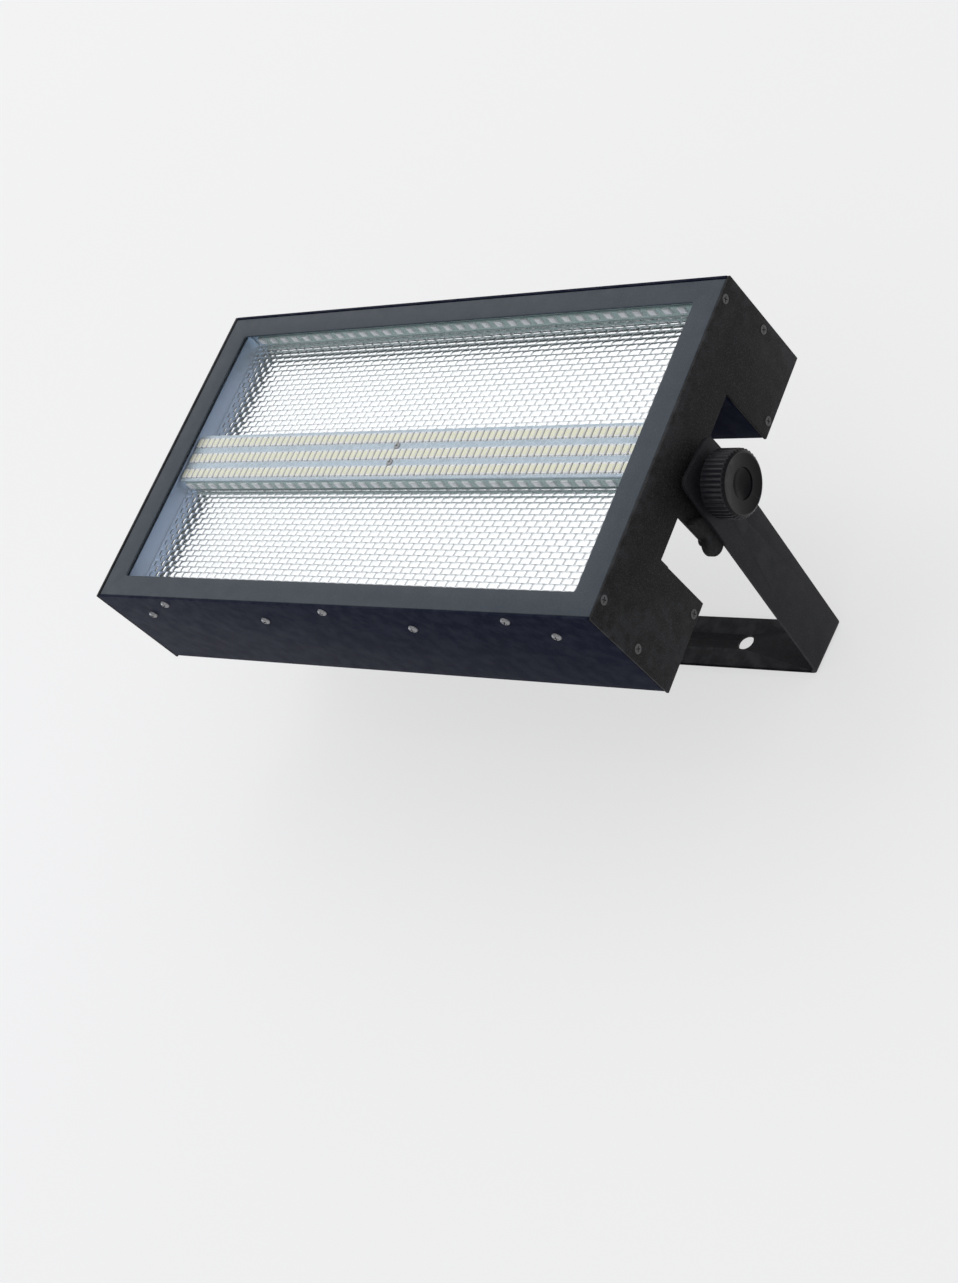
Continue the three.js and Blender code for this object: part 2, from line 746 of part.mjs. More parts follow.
function fanRotorSolid() {
  const tip = fanSize / 2 - fanWall - fanBladeGap;
  const to = fanDeep - fanPlate - passGap;
  const from = to - fanRotorDeep;
  const hub = rod('z', fanHubRadius, from, to);
  const bow = fanBowShare * fanBladeChord;
  const arc = (offset) => rowOf(bendSteps + 1, 2 / bendSteps).map((along) => {
    return new THREE.Vector2((along * fanBladeChord) / 2, offset + bow * (1 - along * along));
  });
  const section = new THREE.Shape([...arc(0), ...arc(fanBladeThick).reverse()]);
  const pitch = new THREE.Matrix4().makeRotationZ(THREE.MathUtils.degToRad(fanBladePitch));
  const stand = new THREE.Matrix4().makeBasis(yAxis, zAxis, xAxis);
  const blades = Array.from({ length: fanBlades }, (_, k) => {
    const long = new THREE.ExtrudeGeometry(section, { depth: tip, bevelEnabled: false });
    long.applyMatrix4(pitch).applyMatrix4(stand);
    long.translate(fanHubRadius / 2, 0, (from + to) / 2);
    long.rotateZ((2 * Math.PI * k) / fanBlades);
    return solidOf(long);
  });
  return joined([hub, ...blades]).intersect(rod('z', tip, from, to, 0, 0, fineSides));
}

function fanGuardSolid() {
  const outer = fanSize / 2 - fanWall;
  const wire = guardWire / 2;
  const rings = Array.from({ length: guardRings }, (_, k) => {
    const radius = (outer * (k + 1)) / guardRings;
    const ringSides = smallSides + 2 * (k + 1);
    const ring = circle(radius + wire, 0, 0, ringSides);
    ring.holes.push(circle(radius - wire, 0, 0, ringSides));
    return extrude(ring, 'z', -guardWire, 0);
  });
  const reach = fanScrewPlace * Math.SQRT2;
  const spokes = [1, 3].map((k) => {
    return block(-reach, reach, -wire, wire, -guardWire, 0).rotate([0, 0, k * 45]);
  });
  const tabs = [-1, 1].flatMap((i) => [-1, 1].map((j) => {
    return rod('z', guardTab, -guardWire, 0, i * fanScrewPlace, j * fanScrewPlace, smallSides);
  }));
  return joined([...rings, ...spokes, ...tabs]);
}

// Display frame in the upper cover, with its glass seated in the front
function displayFrameSolid() {
  const [width, height] = [displayWidth + displayRim, displayHeight + displayRim];
  const rimOutline = roundedRectangle(width, height, displayRim, displayPlace, halfCentre);
  const rim = extrude(rimOutline, 'z', rearFace - seat - displayGlass, rearFace - seat);
  const outline = roundedRectangle(
    displayWidth, displayHeight, displayRim / 2, displayPlace, halfCentre,
  );
  const body = extrude(outline, 'z', rearFace - seat - displayGlass / 2, rearFace + displayDeep);
  return rim.add(body).subtract(displayWindow(0, rearFace - seat - overrun, rearFace + displayGlass));
}

function displayWindow(gap, from, to) {
  const width = displayWidth - displayRim - 2 * gap;
  const height = displayHeight - displayRim - 2 * gap;
  return extrude(roundedRectangle(width, height, displayRim / 4, displayPlace, halfCentre), 'z', from, to);
}

function displayGlassSolid() {
  const to = rearFace + displayGlass - seat;
  return displayWindow(seat, to - displayGlass, to);
}

// A key: domed cap outside, stem through the cover and a flange that keeps it in
function keySolid() {
  const inside = rearInside + seat;
  const tip = rearFace - keyProud;
  const dome = keyRadius / 4;
  return revolve([
    [0, tip], [keyRadius - dome, tip], [keyRadius, tip + dome], [keyRadius, inside],
    [keyRadius + keyFlange, inside], [keyRadius + keyFlange, inside + keyFlange],
    [keyRadius / 2, inside + keyStem], [0, inside + keyStem],
  ], 'z', plainSides);
}

// Board behind the keys and the display, on posts from the rear face, with a switch under each key
function controlBoardSolid() {
  const switchTop = rearInside + seat + keyStem + keyTravel + seat;
  const front = switchTop + switchSize / 2;
  const leftPost = displayPlace - displayWidth / 2 - displayRim - controlPost;
  const rightPost = keyPlaces.at(-1) + keyRadius + keyFlange + seat + controlPost;
  const [x0, x1] = [leftPost - 2 * controlPost, rightPost + 2 * controlPost];
  const [y0, y1] = [halfCentre - controlHeight / 2, halfCentre + controlHeight / 2];
  const board = block(x0, x1, y0, y1, front, front + controlBoard);
  const switches = keyPlaces.map((x) => block(
    x - switchSize / 2, x + switchSize / 2, halfCentre - switchSize / 2, halfCentre + switchSize / 2,
    switchTop, front + partEmbed,
  ));
  const posts = [leftPost, rightPost].flatMap((x) => {
    return [y0 + controlPost, y1 - controlPost].map((y) => {
      return rod('z', controlPost, rearInside + seat, front + partEmbed, x, y, smallSides);
    });
  });
  return joined([board, ...switches, ...posts]);
}

// A chassis socket about its own axis along z: flange on z = 0, body towards +z, mouth towards -z
function socketShell(boreRadius) {
  const flange = extrude(
    roundedRectangle(socketWidth, socketHeight, socketCorner), 'z', -socketFlange, 0,
  );
  const body = rod('z', socketBody, -socketFlange / 2, socketDeep);
  const bore = rod('z', boreRadius, -socketFlange - overrun, socketBoreDeep, 0, 0, fineSides);
  return flange.add(body).subtract(bore);
}

function powerSocketSolid(turn) {
  const slots = Array.from({ length: pinCount }, (_, k) => {
    const slot = block(
      contactCircle - contactSlotWide / 2, contactCircle + contactSlotWide / 2,
      -contactSlotLong / 2, contactSlotLong / 2,
      socketBoreDeep - contactSlotDeep, socketBoreDeep + contactSlotDeep,
    );
    return slot.rotate([0, 0, turn + (360 * k) / pinCount]);
  });
  const keyway = block(
    -contactSlotWide, contactSlotWide, 0, socketBore + contactSlotWide,
    -socketFlange - overrun, socketBoreDeep / 2,
  );
  return cutFrom(socketShell(socketBore), [...slots, keyway.rotate([0, 0, turn])]);
}

const pinAngles = Array.from({ length: pinCount }, (_, k) => Math.PI * (1 + k / 2));

function dataInSolid() {
  const pins = pinAngles.map((a) => rod(
    'z', pinRadius, socketBoreDeep - pinLong, socketBoreDeep + partEmbed,
    pinCircle * Math.cos(a), pinCircle * Math.sin(a), smallSides,
  ));
  return joined([socketShell(socketBore), ...pins]);
}

function dataOutSolid() {
  const insert = rod('z', socketBore - insertGap, -socketFlange / 2, socketBoreDeep + partEmbed);
  const holes = pinAngles.map((a) => rod(
    'z', pinRadius + passGap, -socketFlange - overrun, socketBoreDeep - pinLong + pinLong / 2,
    pinCircle * Math.cos(a), pinCircle * Math.sin(a), smallSides,
  ));
  const half = latchWide / 2 + passGap;
  const top = socketHeight / 2;
  const pocket = block(
    -half, half, top - latchTall - passGap, top + overrun, -socketFlange - overrun, overrun,
  );
  return cutFrom(socketShell(socketBore).add(insert), [...holes, pocket]);
}

// Release latch of the data output socket, pressed towards the socket's axis
function latchSolid() {
  const top = socketHeight / 2 - latchTravel;
  return block(
    -latchWide / 2, latchWide / 2, top - latchTall + latchStop, top,
    -socketFlange - latchProud, -passGap,
  );
}

function fuseHolderSolid() {
  const collar = rod('z', fuseCollar, -fuseCollarThick, 0);
  const body = rod('z', fuseBody, -fuseCollarThick / 2, fuseDeep);
  const bore = rod('z', fusePlug, -fuseCollarThick - overrun, fuseDeep / 2);
  return collar.add(body).subtract(bore);
}

function fuseCapSolid() {
  const from = -fuseCollarThick - seat;
  const grip = extrude(circle(fuseCapRadius, 0, 0, fuseCapRibs), 'z', from - fuseCapTall, from);
  const plug = rod('z', fusePlug - passGap, from - partEmbed, fuseDeep / 2 - seat);
  const slot = block(
    -fuseCapRadius, fuseCapRadius, -fuseSlotWide / 2, fuseSlotWide / 2,
    from - fuseCapTall - overrun, from - fuseCapTall + fuseSlotDeep,
  );
  return grip.add(plug).subtract(slot);
}

// Open-frame power supply on the floor of the lower half
function supplySolid() {
  const x0 = supplyPlace - supplyLength / 2;
  const floor = -skinInside + seat;
  const [z0, z1] = [rearInside + fanPlate, rearInside + fanPlate + supplyDeep];
  const body = block(x0, x0 + supplyLength, floor + supplyFoot, floor + supplyTall, z0, z1);
  const foot = (x) => block(
    x - tabWidth / 2, x + tabWidth / 2, floor, floor + supplyFoot + partEmbed, z0, z1,
  );
  const terminal = block(
    x0 - terminalLong, x0 + partEmbed, floor + supplyFoot, floor + supplyFoot + terminalTall,
    z0 + supplyWall, z1 - supplyWall,
  );
  const feet = [x0 + tabWidth, x0 + supplyLength - tabWidth].map(foot);
  return joined([body, ...feet, terminal]);
}

// Lamp driver board hung from the top of the upper half, parts pointing down
function driverSolid() {
  const top = skinInside - seat;
  const under = top - driverPost - driverThick;
  const [z0, z1] = [-driverFront - driverWide, -driverFront];
  const half = driverLength / 2;
  const board = block(-half, half, under, under + driverThick, z0, z1);
  const posts = [-half + 2 * postRadius, half - 2 * postRadius].flatMap((x) => {
    return [z0 + postRadius, z1 - postRadius].map((z) => {
      return rod('y', postRadius, under + driverThick - partEmbed, top, x, z, smallSides);
    });
  });
  const middle = (z0 + z1) / 2;
  const cans = Array.from({ length: canCount }, (_, k) => {
    const x = -half + canPitch * (k + 1);
    return rod('y', canRadius, under - canTall, under + partEmbed, x, middle, plainSides);
  });
  const coils = Array.from({ length: coilCount }, (_, k) => {
    const x = half - coilPitch * (k + 1);
    return block(
      x - coilSize / 2, x + coilSize / 2, under - coilTall, under + partEmbed,
      middle - coilSize / 2, middle + coilSize / 2,
    );
  });
  return joined([board, ...posts, ...cans, ...coils]);
}

const strobe = new THREE.Group();
strobe.name = 'strobe_light';

const head = new THREE.Group();
head.position.z = armHeight;
head.rotation.x = THREE.MathUtils.degToRad(restTilt);
strobe.add(head);

// The face frame inside the head: its z = 0 lies pivotDepth in front of the tilt axis
const face = new THREE.Group();
face.position.z = pivotDepth;
head.add(face);

function placedGroup(parent, x, y, z) {
  const group = new THREE.Group();
  group.position.set(x, y, z);
  parent.add(group);
  return group;
}

const sides = { right: (solid) => solid, left: mirrored.x };

addPiece(strobe, 'yoke', yokeSolid(), 'blackPaint');
addPiece(face, 'upper_cover', upperCoverSolid(), 'blackPaint');
addPiece(face, 'lower_cover', lowerCoverSolid(), 'blackPaint');
addPiece(face, 'recess_panel', recessPanelSolid(), 'blackPaint');
addPiece(face, 'front_bezel', bezelSolid(), 'bezelPaint');
addPiece(face, 'glass_gasket', gasketSolid(), 'rubber');
addPiece(face, 'window_glass', glassSolid(), 'glass');
addPiece(face, 'reflector_upper', troughSolid(), 'mirror');
addPiece(face, 'reflector_lower', mirrored.y(troughSolid()), 'mirror');
addPiece(face, 'lamp_bar', lampBarSolid(), 'aluminium');
addPiece(face, 'white_led_board', whiteBoardSolid(), 'whiteLed');
addPiece(face, 'heat_sink', heatSinkSolid(), 'aluminium');

const outerStrip = placedGroup(face, 0, troughReach - seat, 0);
addPiece(outerStrip, 'colour_strip_top', mirrored.y(colourStripSolid()), 'colourLed');
const barTopStrip = placedGroup(face, 0, barHalf + seat, 0);
addPiece(barTopStrip, 'colour_strip_bar_top', colourStripSolid(), 'colourLed');
const barUnderStrip = placedGroup(face, 0, -barHalf - seat, 0);
addPiece(barUnderStrip, 'colour_strip_bar_under', mirrored.y(colourStripSolid()), 'colourLed');
const innerStrip = placedGroup(face, 0, -troughReach + seat, 0);
addPiece(innerStrip, 'colour_strip_bottom', colourStripSolid(), 'colourLed');

for (const [side, onSide] of Object.entries(sides)) {
  const sign = side === 'right' ? 1 : -1;
  addPiece(face, `side_plate_${side}`, onSide(sidePlateSolid()), 'blackPaint');
  addPiece(face, `reflector_end_${side}`, onSide(endWallSolid()), 'mirror');
  addPiece(head, `pivot_nut_${side}`, onSide(nutSolid()), 'steel');
  const friction = washerSolid(frictionRadius, halfWidth + seat, armInside - seat);
  addPiece(head, `friction_washer_${side}`, onSide(friction), 'rubber');
  const washer = washerSolid(washerRadius, armOutside + seat, armOutside + seat + washerThick);
  addPiece(head, `knob_washer_${side}`, onSide(washer), 'steel');
  addPiece(head, `knob_${side}`, onSide(knobSolid()), 'blackPlastic');
  addPiece(head, `knob_stud_${side}`, onSide(studSolid()), 'steel');
  const buffer = placedGroup(face, 0, -bufferDrop, -bufferDepth);
  addPiece(buffer, `ear_buffer_${side}`, onSide(bufferSolid()), 'rubber');
  const fan = placedGroup(face, sign * fanPlace, halfCentre, rearInside + seat);
  addPiece(fan, `fan_frame_${side}`, fanFrameSolid(), 'blackPlastic');
  addPiece(fan, `fan_rotor_${side}`, fanRotorSolid(), 'blackPlastic');
  const guard = placedGroup(face, sign * fanPlace, halfCentre, rearFace - seat);
  addPiece(guard, `fan_guard_${side}`, fanGuardSolid(), 'steel');
}

addPiece(face, 'display_frame', displayFrameSolid(), 'blackPlastic');
addPiece(face, 'display_glass', displayGlassSolid(), 'screen');
addPiece(face, 'control_board', controlBoardSolid(), 'greenBoard');
keyPlaces.forEach((x, k) => {
  addPiece(placedGroup(face, x, halfCentre, 0), `menu_key_${k + 1}`, keySolid(), 'blackPlastic');
});

function onLowerRear(x) {
  return placedGroup(face, x, -halfCentre, rearFace - seat);
}

addPiece(onLowerRear(powerInPlace), 'power_in_socket', powerSocketSolid(0), 'bluePlastic');
addPiece(onLowerRear(powerOutPlace), 'power_out_socket', powerSocketSolid(30), 'greyPlastic');
addPiece(onLowerRear(dataInPlace), 'data_in_socket', dataInSolid(), 'blackPlastic');
addPiece(onLowerRear(dataOutPlace), 'data_out_socket', dataOutSolid(), 'blackPlastic');
addPiece(onLowerRear(dataOutPlace), 'data_out_latch', latchSolid(), 'steel');
addPiece(onLowerRear(fusePlace), 'fuse_holder', fuseHolderSolid(), 'blackPlastic');
addPiece(onLowerRear(fusePlace), 'fuse_cap', fuseCapSolid(), 'blackPlastic');
addPiece(face, 'power_supply', supplySolid(), 'aluminium');
addPiece(face, 'lamp_driver', driverSolid(), 'greenBoard');

export default strobe;
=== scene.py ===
"""Looks of an LED strobe light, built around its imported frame.

Blender works in metres. Pieces are drawn in millimetres, and a placement matrix carries them over: pieces
of the head in its face frame, which has x to the right, y to the head's top, z out of the window and z = 0
on the front edge of the case, and pieces of the pivot in a frame on the tilt axis.
"""

import json
import logging
import math
from collections.abc import Sequence
from dataclasses import dataclass, field
from enum import Enum

import bmesh
import bpy
from mathutils import Matrix, Vector

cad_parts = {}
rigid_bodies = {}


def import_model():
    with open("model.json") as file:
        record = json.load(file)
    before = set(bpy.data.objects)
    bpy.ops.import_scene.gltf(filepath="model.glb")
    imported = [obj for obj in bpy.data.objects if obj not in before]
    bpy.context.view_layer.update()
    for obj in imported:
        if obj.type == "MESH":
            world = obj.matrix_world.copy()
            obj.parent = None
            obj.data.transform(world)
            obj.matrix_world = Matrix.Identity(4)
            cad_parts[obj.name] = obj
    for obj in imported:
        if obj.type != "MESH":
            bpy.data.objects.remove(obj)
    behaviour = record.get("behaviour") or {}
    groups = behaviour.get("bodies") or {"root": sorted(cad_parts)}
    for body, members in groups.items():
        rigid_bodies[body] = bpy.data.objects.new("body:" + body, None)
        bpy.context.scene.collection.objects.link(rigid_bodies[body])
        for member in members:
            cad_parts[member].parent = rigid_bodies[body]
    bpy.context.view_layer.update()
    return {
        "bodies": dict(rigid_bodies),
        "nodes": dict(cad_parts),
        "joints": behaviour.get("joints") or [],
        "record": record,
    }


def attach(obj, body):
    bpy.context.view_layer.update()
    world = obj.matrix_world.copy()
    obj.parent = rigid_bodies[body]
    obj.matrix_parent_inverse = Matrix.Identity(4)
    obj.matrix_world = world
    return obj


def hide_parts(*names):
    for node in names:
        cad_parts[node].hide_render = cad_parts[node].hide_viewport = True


log = logging.getLogger("strobe")

Colour = tuple[float, float, float]
Outline = list[tuple[float, float]]
Profile = Sequence[tuple[float, float]]
Socket = bpy.types.NodeSocket
MILLIMETRE = 0.001
ALONG_X = Matrix(((0, 0, 1), (1, 0, 0), (0, 1, 0))).to_4x4()


class Side(Enum):
    """The two ends of the head, with the sign of their x."""

    RIGHT = 1
    LEFT = -1

    @property
    def word(self) -> str:
        """The side's name as it stands in node names."""
        return self.name.lower()


class Half(Enum):
    """The two halves of the head, with the sign of their y."""

    UPPER = 1
    LOWER = -1

    @property
    def word(self) -> str:
        """The half's name as it stands in node names."""
        return self.name.lower()


class NodeSketch:
    """The node tree of one material, with short ways to add what several finishes share."""

    def __init__(self, name: str) -> None:
        """Starts a material with a principled surface.

        Args:
            name: the material's name.
        """
        self.material = bpy.data.materials.new(name)
        self.material.use_nodes = True
        self.tree = self.material.node_tree
        self.surface = self.tree.nodes["Principled BSDF"]
        self.place = self.tree.nodes.new("ShaderNodeTexCoord").outputs["Object"]

    def set(self, **values: float | Colour) -> None:
        """Writes uniform values on the surface's own sockets.

        Args:
            values: socket names in lower case with underscores, and their values.
        """
        for word, value in values.items():
            socket = next(s for s in self.surface.inputs if s.name.lower().replace(" ", "_") == word)
            socket.default_value = (*value, 1.0) if isinstance(value, tuple) else value

    def feed(self, socket: str, source: Socket) -> None:
        """Links a source to one of the surface's sockets."""
        self.tree.links.new(source, self.surface.inputs[socket])

    def scaled(self, stretch: Colour) -> Socket:
        """Scales the object's coordinates.

        Args:
            stretch: factor along each axis.

        Returns:
            The coordinates.
        """
        node = self.tree.nodes.new("ShaderNodeMapping")
        node.inputs["Scale"].default_value = stretch
        self.tree.links.new(self.place, node.inputs["Vector"])
        return node.outputs["Vector"]

    def noise(self, grain: float, detail: float = 3.0, stretch: Colour | None = None) -> Socket:
        """Adds noise.

        Args:
            grain: size of its spots, in millimetres.
            detail: how many finer layers it has.
            stretch: factor along each axis, for brushed or drawn grain.

        Returns:
            The noise's value, mostly from 0.3 to 0.7.
        """
        node = self.tree.nodes.new("ShaderNodeTexNoise")
        node.inputs["Scale"].default_value = 1.0 / (grain * MILLIMETRE)
        node.inputs["Detail"].default_value = detail
        place = self.place if stretch is None else self.scaled(stretch)
        self.tree.links.new(place, node.inputs["Vector"])
        return node.outputs[0]

    def cells(self, size: float, feature: str = "F1") -> Socket:
        """Adds a pattern of cells.

        Args:
            size: width of a cell, in millimetres.
            feature: which distance the pattern gives.

        Returns:
            The distance at each point.
        """
        node = self.tree.nodes.new("ShaderNodeTexVoronoi")
        node.feature = feature
        node.inputs["Scale"].default_value = 1.0 / (size * MILLIMETRE)
        self.tree.links.new(self.place, node.inputs["Vector"])
        return node.outputs["Distance"]

    def spread(
        self, source: Socket, low: float, high: float, start: float = 0.3, end: float = 0.7,
    ) -> Socket:
        """Maps a value from one range to another and clamps it.

        Args:
            source: the value.
            low: result at start.
            high: result at end.
            start: one end of the source's range.
            end: its other end.

        Returns:
            The mapped value.
        """
        node = self.tree.nodes.new("ShaderNodeMapRange")
        for word, value in zip(("From Min", "From Max", "To Min", "To Max"), (start, end, low, high)):
            node.inputs[word].default_value = value
        self.tree.links.new(source, node.inputs["Value"])
        return node.outputs["Result"]

    def product(self, one: Socket, other: Socket) -> Socket:
        """Multiplies two values.

        Args:
            one: the first value.
            other: the second value.

        Returns:
            Their product.
        """
        node = self.tree.nodes.new("ShaderNodeMath")
        node.operation = "MULTIPLY"
        self.tree.links.new(one, node.inputs[0])
        self.tree.links.new(other, node.inputs[1])
        return node.outputs[0]

    def mixed(self, factor: Socket, low: Colour | Socket, high: Colour | Socket) -> Socket:
        """Mixes two colours, each given as a value or as another node's output.

        Args:
            factor: 0 for the first colour, 1 for the second.
            low: the first colour.
            high: the second colour.

        Returns:
            The mixed colour.
        """
        node = self.tree.nodes.new("ShaderNodeMix")
        node.data_type = "RGBA"
        self.tree.links.new(factor, node.inputs[0])
        for socket, colour in ((node.inputs[6], low), (node.inputs[7], high)):
            if isinstance(colour, tuple):
                socket.default_value = (*colour, 1.0)
            else:
                self.tree.links.new(colour, socket)
        return node.outputs[2]

    def worn_edges(self, start: float, end: float, patch: float = 9.0) -> Socket:
        """Finds sharp convex edges, broken up by patches, where a coat is worn; on some finishes the paler
        colour there is also a painted highlight.

        Args:
            start: pointiness at which wear starts.
            end: pointiness at which it is full.
            patch: size of the patches, in millimetres.

        Returns:
            0 where the coat is whole, 1 where it is worn and takes the paler colour that also serves as a
            painted highlight.
        """
        geometry = self.tree.nodes.new("ShaderNodeNewGeometry")
        edge = self.spread(geometry.outputs["Pointiness"], 0.0, 1.0, start, end)
        return self.product(edge, self.spread(self.noise(patch, 4.0), 0.15, 1.0, 0.4, 0.62))

    def bumped(self, height: Socket, depth: float) -> None:
        """Adds relief to the surface's normal.

        Args:
            height: the relief, from 0 to 1.
            depth: how high it stands, in millimetres.
        """
        node = self.tree.nodes.new("ShaderNodeBump")
        node.inputs["Distance"].default_value = depth * MILLIMETRE
        self.tree.links.new(height, node.inputs["Height"])
        self.feed("Normal", node.outputs["Normal"])


class Finish:
    """What every finish shares: one material, made by the finish's own nodes."""

    def build(self, name: str) -> bpy.types.Material:
        """Makes the material.

        Args:
            name: the material's name.

        Returns:
            The material.
        """
        sketch = NodeSketch(name)
        self.paint(sketch)
        return sketch.material

    def paint(self, sketch: NodeSketch) -> None:
        """Adds the finish's nodes to a new material."""
        raise NotImplementedError


@dataclass(frozen=True)
class PowderCoat(Finish):
    """Textured powder coat on steel sheet, worn along its edges, where the paler edge colour is partly a
    painted highlight.
    """

    colour: Colour
    rubbed: Colour
    roughness: float = 0.5
    grain: float = 0.55
    relief: float = 0.05
    gloss: float = 0.4

    def paint(self, sketch: NodeSketch) -> None:
        """Adds the coat's nodes.

        Args:
            sketch: the new material.
        """
        sketch.set(specular_ior_level=self.gloss)
        pale = tuple(1.04 * c for c in self.colour)
        deep = tuple(0.96 * c for c in self.colour)
        cloud = sketch.mixed(sketch.spread(sketch.noise(40.0, 4.0), 0.0, 1.0), deep, pale)
        dots = sketch.spread(sketch.noise(self.grain, 2.0), 0.0, 0.6, 0.5, 0.75)
        speck = sketch.mixed(dots, cloud, self.rubbed)
        # paler colour on sharp edges: wear, and a painted highlight on some finishes
        sketch.feed("Base Color", sketch.mixed(sketch.worn_edges(0.53, 0.6), speck, self.rubbed))
        rough = sketch.spread(sketch.noise(11.0, 4.0), self.roughness - 0.03, self.roughness + 0.04)
        sketch.feed("Roughness", rough)
        sketch.bumped(sketch.noise(self.grain, 2.0), self.relief)


@dataclass(frozen=True)
class BareMetal(Finish):
    """Bare metal with drawn grain, from plain sheet to bright reflector stock."""

    colour: Colour
    shade: Colour
    roughness: float
    grain: float = 0.5
    stretch: Colour = (0.05, 1.0, 1.0)
    relief: float = 0.004

    def paint(self, sketch: NodeSketch) -> None:
        """Adds the metal's nodes.

        Args:
            sketch: the new material.
        """
        sketch.set(metallic=1.0)
        drawn = sketch.noise(self.grain, 4.0, self.stretch)
        tone = sketch.mixed(sketch.spread(drawn, 0.0, 1.0), self.shade, self.colour)
        smudge = sketch.spread(sketch.noise(30.0, 4.0), 0.0, 0.6)
        sketch.feed("Base Color", sketch.mixed(smudge, tone, self.colour))
        low, high = 0.8 * self.roughness, 1.25 * self.roughness
        sketch.feed("Roughness", sketch.spread(sketch.noise(14.0, 4.0), low, high))
        sketch.bumped(drawn, self.relief)


@dataclass(frozen=True)
class MouldedPlastic(Finish):
    """Moulded plastic with a fine eroded grain and paler edges, partly wear and partly a painted highlight.
    """

    colour: Colour
    rubbed: Colour
    roughness: float = 0.45
    grain: float = 0.35
    relief: float = 0.02
    gloss: float = 0.5

    def paint(self, sketch: NodeSketch) -> None:
        """Adds the plastic's nodes.

        Args:
            sketch: the new material.
        """
        sketch.set(specular_ior_level=self.gloss)
        pale = tuple(1.15 * c for c in self.colour)
        tone = sketch.mixed(sketch.spread(sketch.noise(8.0, 4.0), 0.0, 1.0), self.colour, pale)
        # paler colour on sharp edges: wear, and a painted highlight on the knob
        sketch.feed("Base Color", sketch.mixed(sketch.worn_edges(0.54, 0.64, 4.0), tone, self.rubbed))
        low, high = self.roughness - 0.05, self.roughness + 0.07
        sketch.feed("Roughness", sketch.spread(sketch.noise(5.0, 3.0), low, high))
        sketch.bumped(sketch.noise(self.grain, 2.0), self.relief)


@dataclass(frozen=True)
class Rubber(Finish):
    """Matt black rubber with a dusty bloom."""

    colour: Colour
    bloom: Colour

    def paint(self, sketch: NodeSketch) -> None:
        """Adds the rubber's nodes.

        Args:
            sketch: the new material.
        """
        sketch.set(specular_ior_level=0.3)
        dust = sketch.spread(sketch.noise(3.0, 6.0), 0.0, 0.5, 0.45, 0.7)
        sketch.feed("Base Color", sketch.mixed(dust, self.colour, self.bloom))
        sketch.feed("Roughness", sketch.spread(sketch.noise(2.0), 0.7, 0.9))
        sketch.bumped(sketch.noise(0.6, 3.0), 0.03)


@dataclass(frozen=True)
class WindowPane(Finish):
    """Clear glass, which shows its surface more at a shallow angle, with faint smears."""

    tint: Colour
    face_on: float
    grazing: float

    def paint(self, sketch: NodeSketch) -> None:
        """Adds the glass's nodes.

        Args:
            sketch: the new material.
        """
        sketch.set(base_color=self.tint, specular_ior_level=0.5)
        weight = sketch.tree.nodes.new("ShaderNodeLayerWeight")
        weight.inputs["Blend"].default_value = 0.25
        clear = sketch.spread(weight.outputs["Facing"], self.face_on, self.grazing, 0.1, 1.0)
        sketch.feed("Alpha", clear)
        sketch.feed("Roughness", sketch.spread(sketch.noise(26.0, 5.0), 0.02, 0.07))


@dataclass(frozen=True)
class Phosphor(Finish):
    """The gel of an LED: coloured phosphor, cloudy, under a glossy skin."""

    colour: Colour
    shade: Colour

    def paint(self, sketch: NodeSketch) -> None:
        """Adds the gel's nodes.

        Args:
            sketch: the new material.
        """
        sketch.set(coat_weight=0.4, coat_roughness=0.12, specular_ior_level=0.5)
        cloud = sketch.spread(sketch.noise(1.6, 4.0), 0.0, 1.0)
        sketch.feed("Base Color", sketch.mixed(cloud, self.shade, self.colour))
        sketch.feed("Roughness", sketch.spread(sketch.noise(0.8), 0.35, 0.55))
        sketch.bumped(sketch.noise(0.9), 0.03)


@dataclass(frozen=True)
class CircuitBoard(Finish):
    """Solder mask over copper tracks, with bare spots."""

    mask: Colour
    track: Colour
    cell: float = 3.0

    def paint(self, sketch: NodeSketch) -> None:
        """Adds the board's nodes.

        Args:
            sketch: the new material.
        """
        sketch.set(specular_ior_level=0.5)
        lines = sketch.spread(sketch.cells(self.cell, "DISTANCE_TO_EDGE"), 1.0, 0.0, 0.04, 0.09)
        deep = tuple(0.85 * c for c in self.mask)
        cloud = sketch.mixed(sketch.spread(sketch.noise(7.0), 0.0, 1.0), self.mask, deep)
        sketch.feed("Base Color", sketch.mixed(lines, cloud, self.track))
        sketch.feed("Roughness", sketch.spread(sketch.noise(1.5), 0.32, 0.5))
        sketch.bumped(lines, 0.03)


@dataclass(frozen=True)
class DarkScreen(Finish):
    """A display that is switched off: glossy and dark, with a faint grid of cells."""

    colour: Colour
    cell: Colour

    def paint(self, sketch: NodeSketch) -> None:
        """Adds the screen's nodes.

        Args:
            sketch: the new material.
        """
        sketch.set(coat_weight=0.6, coat_roughness=0.04)
        wave = sketch.tree.nodes.new("ShaderNodeTexWave")
        wave.inputs["Scale"].default_value = 500.0
        sketch.tree.links.new(sketch.place, wave.inputs["Vector"])
        grid = sketch.spread(wave.outputs[1], 0.0, 0.6, 0.4, 0.9)
        sketch.feed("Base Color", sketch.mixed(grid, self.colour, self.cell))
        sketch.feed("Roughness", sketch.spread(sketch.noise(12.0), 0.08, 0.16))


